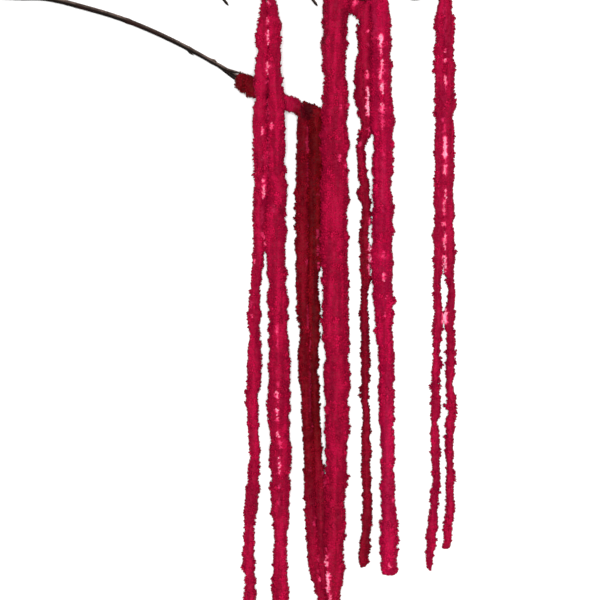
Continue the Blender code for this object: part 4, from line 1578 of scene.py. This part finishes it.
            (98.5, -182, 4, 8, 1.8, 0), (108.5, -60, 4, 7, -1.8, 0), (107.5, -76, 4, 7, -1.8, 0),
            (98.8, -1, 4, 8, 1.8, 0), (98.5, -44, 4, 18, 1.3, 0),
        ),
        route=(
            (102, 275.5, 3.0, 1.5), (102.2, 265, 4.4, 0.5), (101.8, 250, 4.8, 0), (102, 198, 4.9, 0),
            (101.8, 126, 4.8, 0), (101.6, 45, 4.8, 0), (102.6, 0, 3.8, 0), (102.8, -45, 4.8, 0),
            (103.2, -90, 4.8, 0), (103, -108, 4.6, 0), (102.2, -150, 3.8, 0), (102.4, -180, 4.2, 0),
            (101, -207, 4.2, 0), (98.6, -226, 3.2, 0),
        ),
    ),
)

# Marks of painted light on the florets, in plan: positive strengths are pale painted highlights and sheen
# along crests and seams, negative ones painted shade under stalks and heads, at narrowings and along some
# edges
FLECKS = Flecks(
    places=(
        # Left pair
        (-60.5, 267, 262, 2.4, 0.8), (-61.3, 251, 245, 2.0, 0.7), (-60.8, 240, 227, 2.4, 0.85),
        (-61.2, 212, 198, 2.2, 0.85), (-61.7, 195, 192, 3.0, 0.35), (-58, 159, 152, 1.9, 0.65),
        (-65.8, 155, 146, 2.0, 0.8), (-65, 129, 126, 1.8, 0.3), (-65, 111, 90, 2.6, 0.85),
        (-55.8, 86, 78, 1.8, 0.25), (-66.2, 83, 66, 2.4, 0.2), (-65.9, 62, 57, 2.2, 0.45),
        (-64.6, 58, 54, 2.0, 0.6), (-63.8, 52.5, 49, 3.4, 0.65), (-48.5, 84, 75, 6.0, -0.45),
        (-73.5, 36, 33, 2.0, 0.8), (-75.3, -13, -16, 1.8, 0.6), (-76, 0, -8, 2.0, 0.3),
        (-53, -23, -29, 2.2, 0.55), (-52.6, -32, -43, 1.2, 0.35), (-53, -62, -66, 1.6, 0.2),
        (-52.3, -73, -78, 2.4, 0.4), (-52.8, -81, -88, 2.8, 0.85), (-53, -90, -94, 2.4, 0.4),
        (-52.7, -96, -108, 2.0, 0.85), (-52.2, -117, -122, 2.0, 0.8), (-50.2, -125, -133, 1.5, 0.5),
        (-50.9, -139, -155, 1.7, 0.9), (-50.9, -164, -168, 2.0, 0.35), (-51.3, -176, -183, 1.6, 0.3),
        (-61, 188, 180, 3.4, -0.3), (-61, 178, 158, 3.0, 0.2), (-61, 148, 108, 3.0, 0.2),
        # Dark pair
        (-25.6, 162, 160, 3.0, 0.1), (-26, 156, 130, 1.8, 0.2), (-25.4, 130, 100, 1.6, 0.16),
        (-25.6, 69, 66, 2.0, 0.14), (-26, 52, 47, 1.8, 0.12), (-26.4, 36, 33, 2.2, 0.3),
        (-25.4, -4, -26, 1.8, 0.2), (-23, -29, -48, 1.8, 0.2), (-23.5, -48, -110, 1.6, 0.14),
        (-22, -110, -119, 1.4, 0.12), (-23.4, -150, -155, 2.0, 0.14), (-17.1, 110, 108, 2.0, 0.14),
        (-16.2, 96, 92, 3.0, 0.2), (-16.6, 63, 55, 2.8, 0.26), (-16.6, 50, 38, 2.4, 0.26),
        (-16.2, 35, 28, 2.8, 0.32), (-19, -194, -197, 1.8, 0.2), (-19.8, -198, -202, 2.4, 0.3),
        (-17.1, -206, -208, 1.8, 0.16), (-16.2, -229, -235, 1.8, 0.26), (-16.2, -242, -245, 1.8, 0.26),
        (-14.8, -248, -252, 2.0, 0.6), (-25.5, 177, 161, 15.0, -0.9), (-21.6, 150, 60, 4.0, -0.5),
        (-19, 60, -120, 4.5, -0.45), (-80, 202, 186, 16.0, -0.35),
        # Between the dark pair and the main tassel
        (-10, 154, 151, 1.8, 0.14), (-10.6, 142, 139, 2.6, 0.14), (-11.7, -153, -158, 2.4, 0.25),
        (-10.3, -160, -168, 2.6, 0.25), (-9.4, -205, -208, 1.2, 0.14), (-8.5, -222, -225, 2.0, 0.4),
        (-8.1, -228, -232, 2.4, 0.65), (-8.7, -234, -239, 3.0, 0.85), (-7.4, -241, -262, 3.0, 1.0),
        (-5.4, -262, -270, 2.8, 0.7), (-12, -170, -200, 3.0, -0.4),
        # Main tassel
        (3.7, 174, 168, 1.8, 0.4), (2.8, 130, 123, 2.0, 0.5), (-1.7, -197, -206, 1.7, 0.14),
        (-6.2, -218, -220, 1.8, 0.14), (2.4, 150, 139, 2.2, 0.12), (-4, -30, -120, 1.8, -0.2),
        (10.3, 176, 172, 1.8, 0.4), (10, 161, 158, 1.8, 0.5), (10.3, 150, 147, 1.8, 0.4),
        (8, 121, 118, 1.8, 0.35), (10.6, 110, 105, 1.8, 0.6), (-11, 274, 225, 5.0, -0.5),
        (6, 262, 228, 6.0, -0.35),
        # Middle pair
        (17.2, 269, 264, 5.0, 0.7), (25.5, 273, 267.5, 12.0, -0.9), (27.7, 242, 239, 2.0, 0.8),
        (28.9, 230, 227, 1.6, 0.25), (28, 206, 198, 2.4, 0.7), (28.2, 192, 164, 3.0, 1.0),
        (29.5, 155, 148, 2.0, 0.4), (30, 74, 66, 2.2, 0.6), (30.4, 52, 44, 3.0, 0.95),
        (30.4, 42, 34, 2.6, 0.9), (30, 32, 22, 2.4, 0.85),
        (41.5, 135, 75, 5.0, 0.14), (46.3, -60, -236, 8.0, 0.12), (34.3, 262, 228, 5.0, 0.16),
        (22.5, -53, -55, 2.0, 0.4), (22, 142, 138, 2.6, 0.4), (39.7, 238, 226, 2.6, 0.95),
        (39.8, 224, 217, 2.2, 0.75), (40.8, 214.5, 206, 2.6, 0.8), (39.7, 204, 197, 2.6, 0.85),
        (40.6, 197, 184, 2.6, 0.95), (40.6, 176, 169, 2.6, 0.75), (41, 167, 151, 1.9, 0.5),
        (42.9, 131, 128, 2.0, 0.3),
        (42, 43, 37, 1.9, 0.45), (42.4, 25, 16, 2.2, 0.75), (44.6, 4, 1, 2.0, 0.5),
        (43.8, -10, -14, 1.8, 0.5), (50.6, -177, -180, 1.6, 0.5), (47.9, -235, -240, 2.0, 0.75),
        # Right pair
        (97.9, 226, 222, 1.8, 0.65), (97.9, 217, 213, 2.0, 0.7), (97.9, 202, 194, 2.4, 0.85),
        (98.6, 193, 188, 1.8, 0.4), (95.8, 164, 160, 2.2, 0.4), (97.2, 158, 151, 2.0, 0.45),
        (97.9, 149, 125, 3.2, 1.0), (97.9, 122, 113, 2.8, 0.9), (98.2, 101, 90, 2.2, 0.85),
        (97, 90, 76, 2.2, 0.75), (96.6, 70, 67, 3.6, 0.75), (97.6, 62, 44, 1.8, 0.85),
        (97.4, 40, 25, 3.6, 1.0), (97.2, -8, -23, 5.0, 0.95), (97.6, 272, 228, 3.0, 0.2),
        (97.5, 212, 0, 4.0, 0.15),
    ),
)

MAIN_STEM = Shoot(
    nodes=(62.0, 139.0, 282.0, 389.0), cut=True,
    route=(
        (-409, 184, 3.4, 3.6), (-374, 232, 3.4, 3.4), (-340, 260, 3.6, 3.2), (-307, 273.5, 4.0, 3.0),
        (-275, 284.5, 3.6, 2.7), (-230, 298, 3.2, 2.5), (-176, 308, 3.0, 2.4), (-122, 314.5, 3.0, 2.3),
        (-67, 316, 3.2, 2.2), (-14, 309.5, 4.0, 2.1), (29, 293, 4.5, 2.0), (53, 278.5, 4.2, 1.9),
        (69, 271.5, 3.6, 1.8), (85, 274.5, 3.6, 1.8), (98, 281.5, 4.0, 1.8),
    ),
)
LOW_TWIG = Shoot(
    nodes=(123.0, 184.0, 207.0),
    route=(
        (-307, 273.5, 4.0, 2.9), (-284, 272, 4.2, 2.5), (-261, 271.2, 4.6, 2.4), (-248, 268.7, 4.8, 2.4),
        (-234, 265, 5.0, 2.4), (-191, 252, 5.6, 2.3), (-149, 234, 6.2, 2.2), (-115, 216, 6.6, 2.0),
        (-95, 204.5, 7.2, 1.9),
    ),
)
LEFT_TWIG = Shoot(
    route=(
        (-167, 309, 3.2, 2.1), (-127, 308.5, 4.5, 2.0), (-94, 303, 6.5, 1.9), (-74, 294, 8.5, 1.8),
        (*LEFT_FORK, 1.8),
    ),
)
MIDDLE_TWIG = Shoot(
    route=((-61, 316, 3.2, 2.1), (-28, 308.5, 7.0, 2.0), (0, 294, 13.5, 1.9), (*MIDDLE_FORK, 1.9)),
)
LEFT_STUB = Shoot(
    pointed=True, route=((-135, 308.5, 4.2, 1.6), (-116, 288, 4.6, 1.5), (-96.5, 264.5, 5.0, 1.2)),
)
MIDDLE_STUB = Shoot(
    pointed=True, route=((-46, 313.5, 4.6, 1.6), (-34, 288, 4.8, 1.5), (-16.5, 264, 5.0, 1.2)),
)
# Spurs on the low twig where leaves were shed
LEAF_SCARS = tuple(
    Shoot(pointed=True, route=route)
    for route in (
        ((-134, 226.5, 6.2, 1.0), (-131.5, 222.5, 6.0, 0.9), (-127.5, 219.8, 5.8, 0.5)),
        ((-114, 214.6, 6.8, 1.3), (-110, 214.8, 7.2, 1.4), (-106.5, 212.4, 7.4, 1.0)),
        ((-98, 206.4, 7.6, 1.4), (-91, 204.2, 11.5, 1.2), (-84, 202.2, 16.5, 0.6)),
    )
)
# Where each stalk leaves the stem, and what it passes on its way to its tassel: x, y, z in mm
STALKS = {
    "tassel_left_thin": (LEFT_FORK,),
    "tassel_left_thick": (LEFT_FORK,),
    "tassel_dark_outer": ((-100.0, 207.5, 6.5),),
    "tassel_dark_inner": (
        (-106.0, 211.0, 4.0), (-90.0, 199.0, 1.8), (-62.0, 186.0, 1.5), (-43.0, 178.8, 1.5),
    ),
    "tassel_main": (MIDDLE_FORK,),
    "tassel_middle_thin": (MIDDLE_FORK,),
    "tassel_middle_thick": (MIDDLE_FORK, (23.0, 272.5, 13.5)),
    "tassel_right_long": (RIGHT_FORK,),
    "tassel_right_short": (RIGHT_FORK,),
}
STALK_RADIUS = 1.5
# The stalk that passes among florets has reddened from this x on, in mm
RED_FROM = {"tassel_dark_inner": -58.0}
# Where a stalk runs straight round its tassel's mouth, in socket depths from the mouth
STALK_STRAIGHT = (-0.4, 0.0, 0.86)


def stalk(tassel: Tassel) -> Shoot:
    """The stalk from the stem's fork into a tassel.

    Args:
        tassel: The tassel that it carries.

    Returns:
        The stalk as a shoot, which runs straight inside the socket.
    """
    mouth, deep_end = tassel.socket()
    straight = [tuple(mouth + (deep_end - mouth) * share) for share in STALK_STRAIGHT]
    route = tuple((*point, STALK_RADIUS) for point in (*STALKS[tassel.name], *straight))
    return Shoot(route, red_from=RED_FROM.get(tassel.name, math.inf))


def write_sizes(solids: tuple[Vector, Vector]) -> None:
    """Rounds the corners of the solids' box and of the visual model's box; nothing is written.

    Args:
        solids: The box of the solids, from before the scene was made.
    """
    boxes = {"cad": solids, "visual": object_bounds()}
    for name, corners in boxes.items():
        low, high = ([round(value, 5) for value in corner] for corner in corners)


def main() -> None:
    """Builds the studio, the stem and the tassels, and reports each piece."""
    logging.basicConfig(level=logging.INFO, format="%(message)s")
    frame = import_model()
    solid_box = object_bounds()
    Studio().build()
    shoots = (MAIN_STEM, LOW_TWIG, LEFT_TWIG, MIDDLE_TWIG, LEFT_STUB, MIDDLE_STUB, *LEAF_SCARS)
    pieces = [Stem("stem", (*shoots, *map(stalk, TASSELS))).build()]
    cover = FloretCover().tree()
    solids = {tassel.name: frame["nodes"][tassel.name] for tassel in TASSELS}
    materials = {finish.slot: finish.material() for finish in (CRIMSON_FLORETS, DARK_FLORETS)}
    for tassel in TASSELS:
        pieces.append(tassel.build(solids, cover, materials[tassel.finish.slot], FLECKS))
    for piece in pieces:
        piece.data.calc_loop_triangles()
        LOG.info("%s: %d triangles", piece.name, len(piece.data.loop_triangles))
    LOG.info("in all: %d triangles", sum(len(piece.data.loop_triangles) for piece in pieces))
    write_sizes(solid_box)


if __name__ == "__main__":
    main()
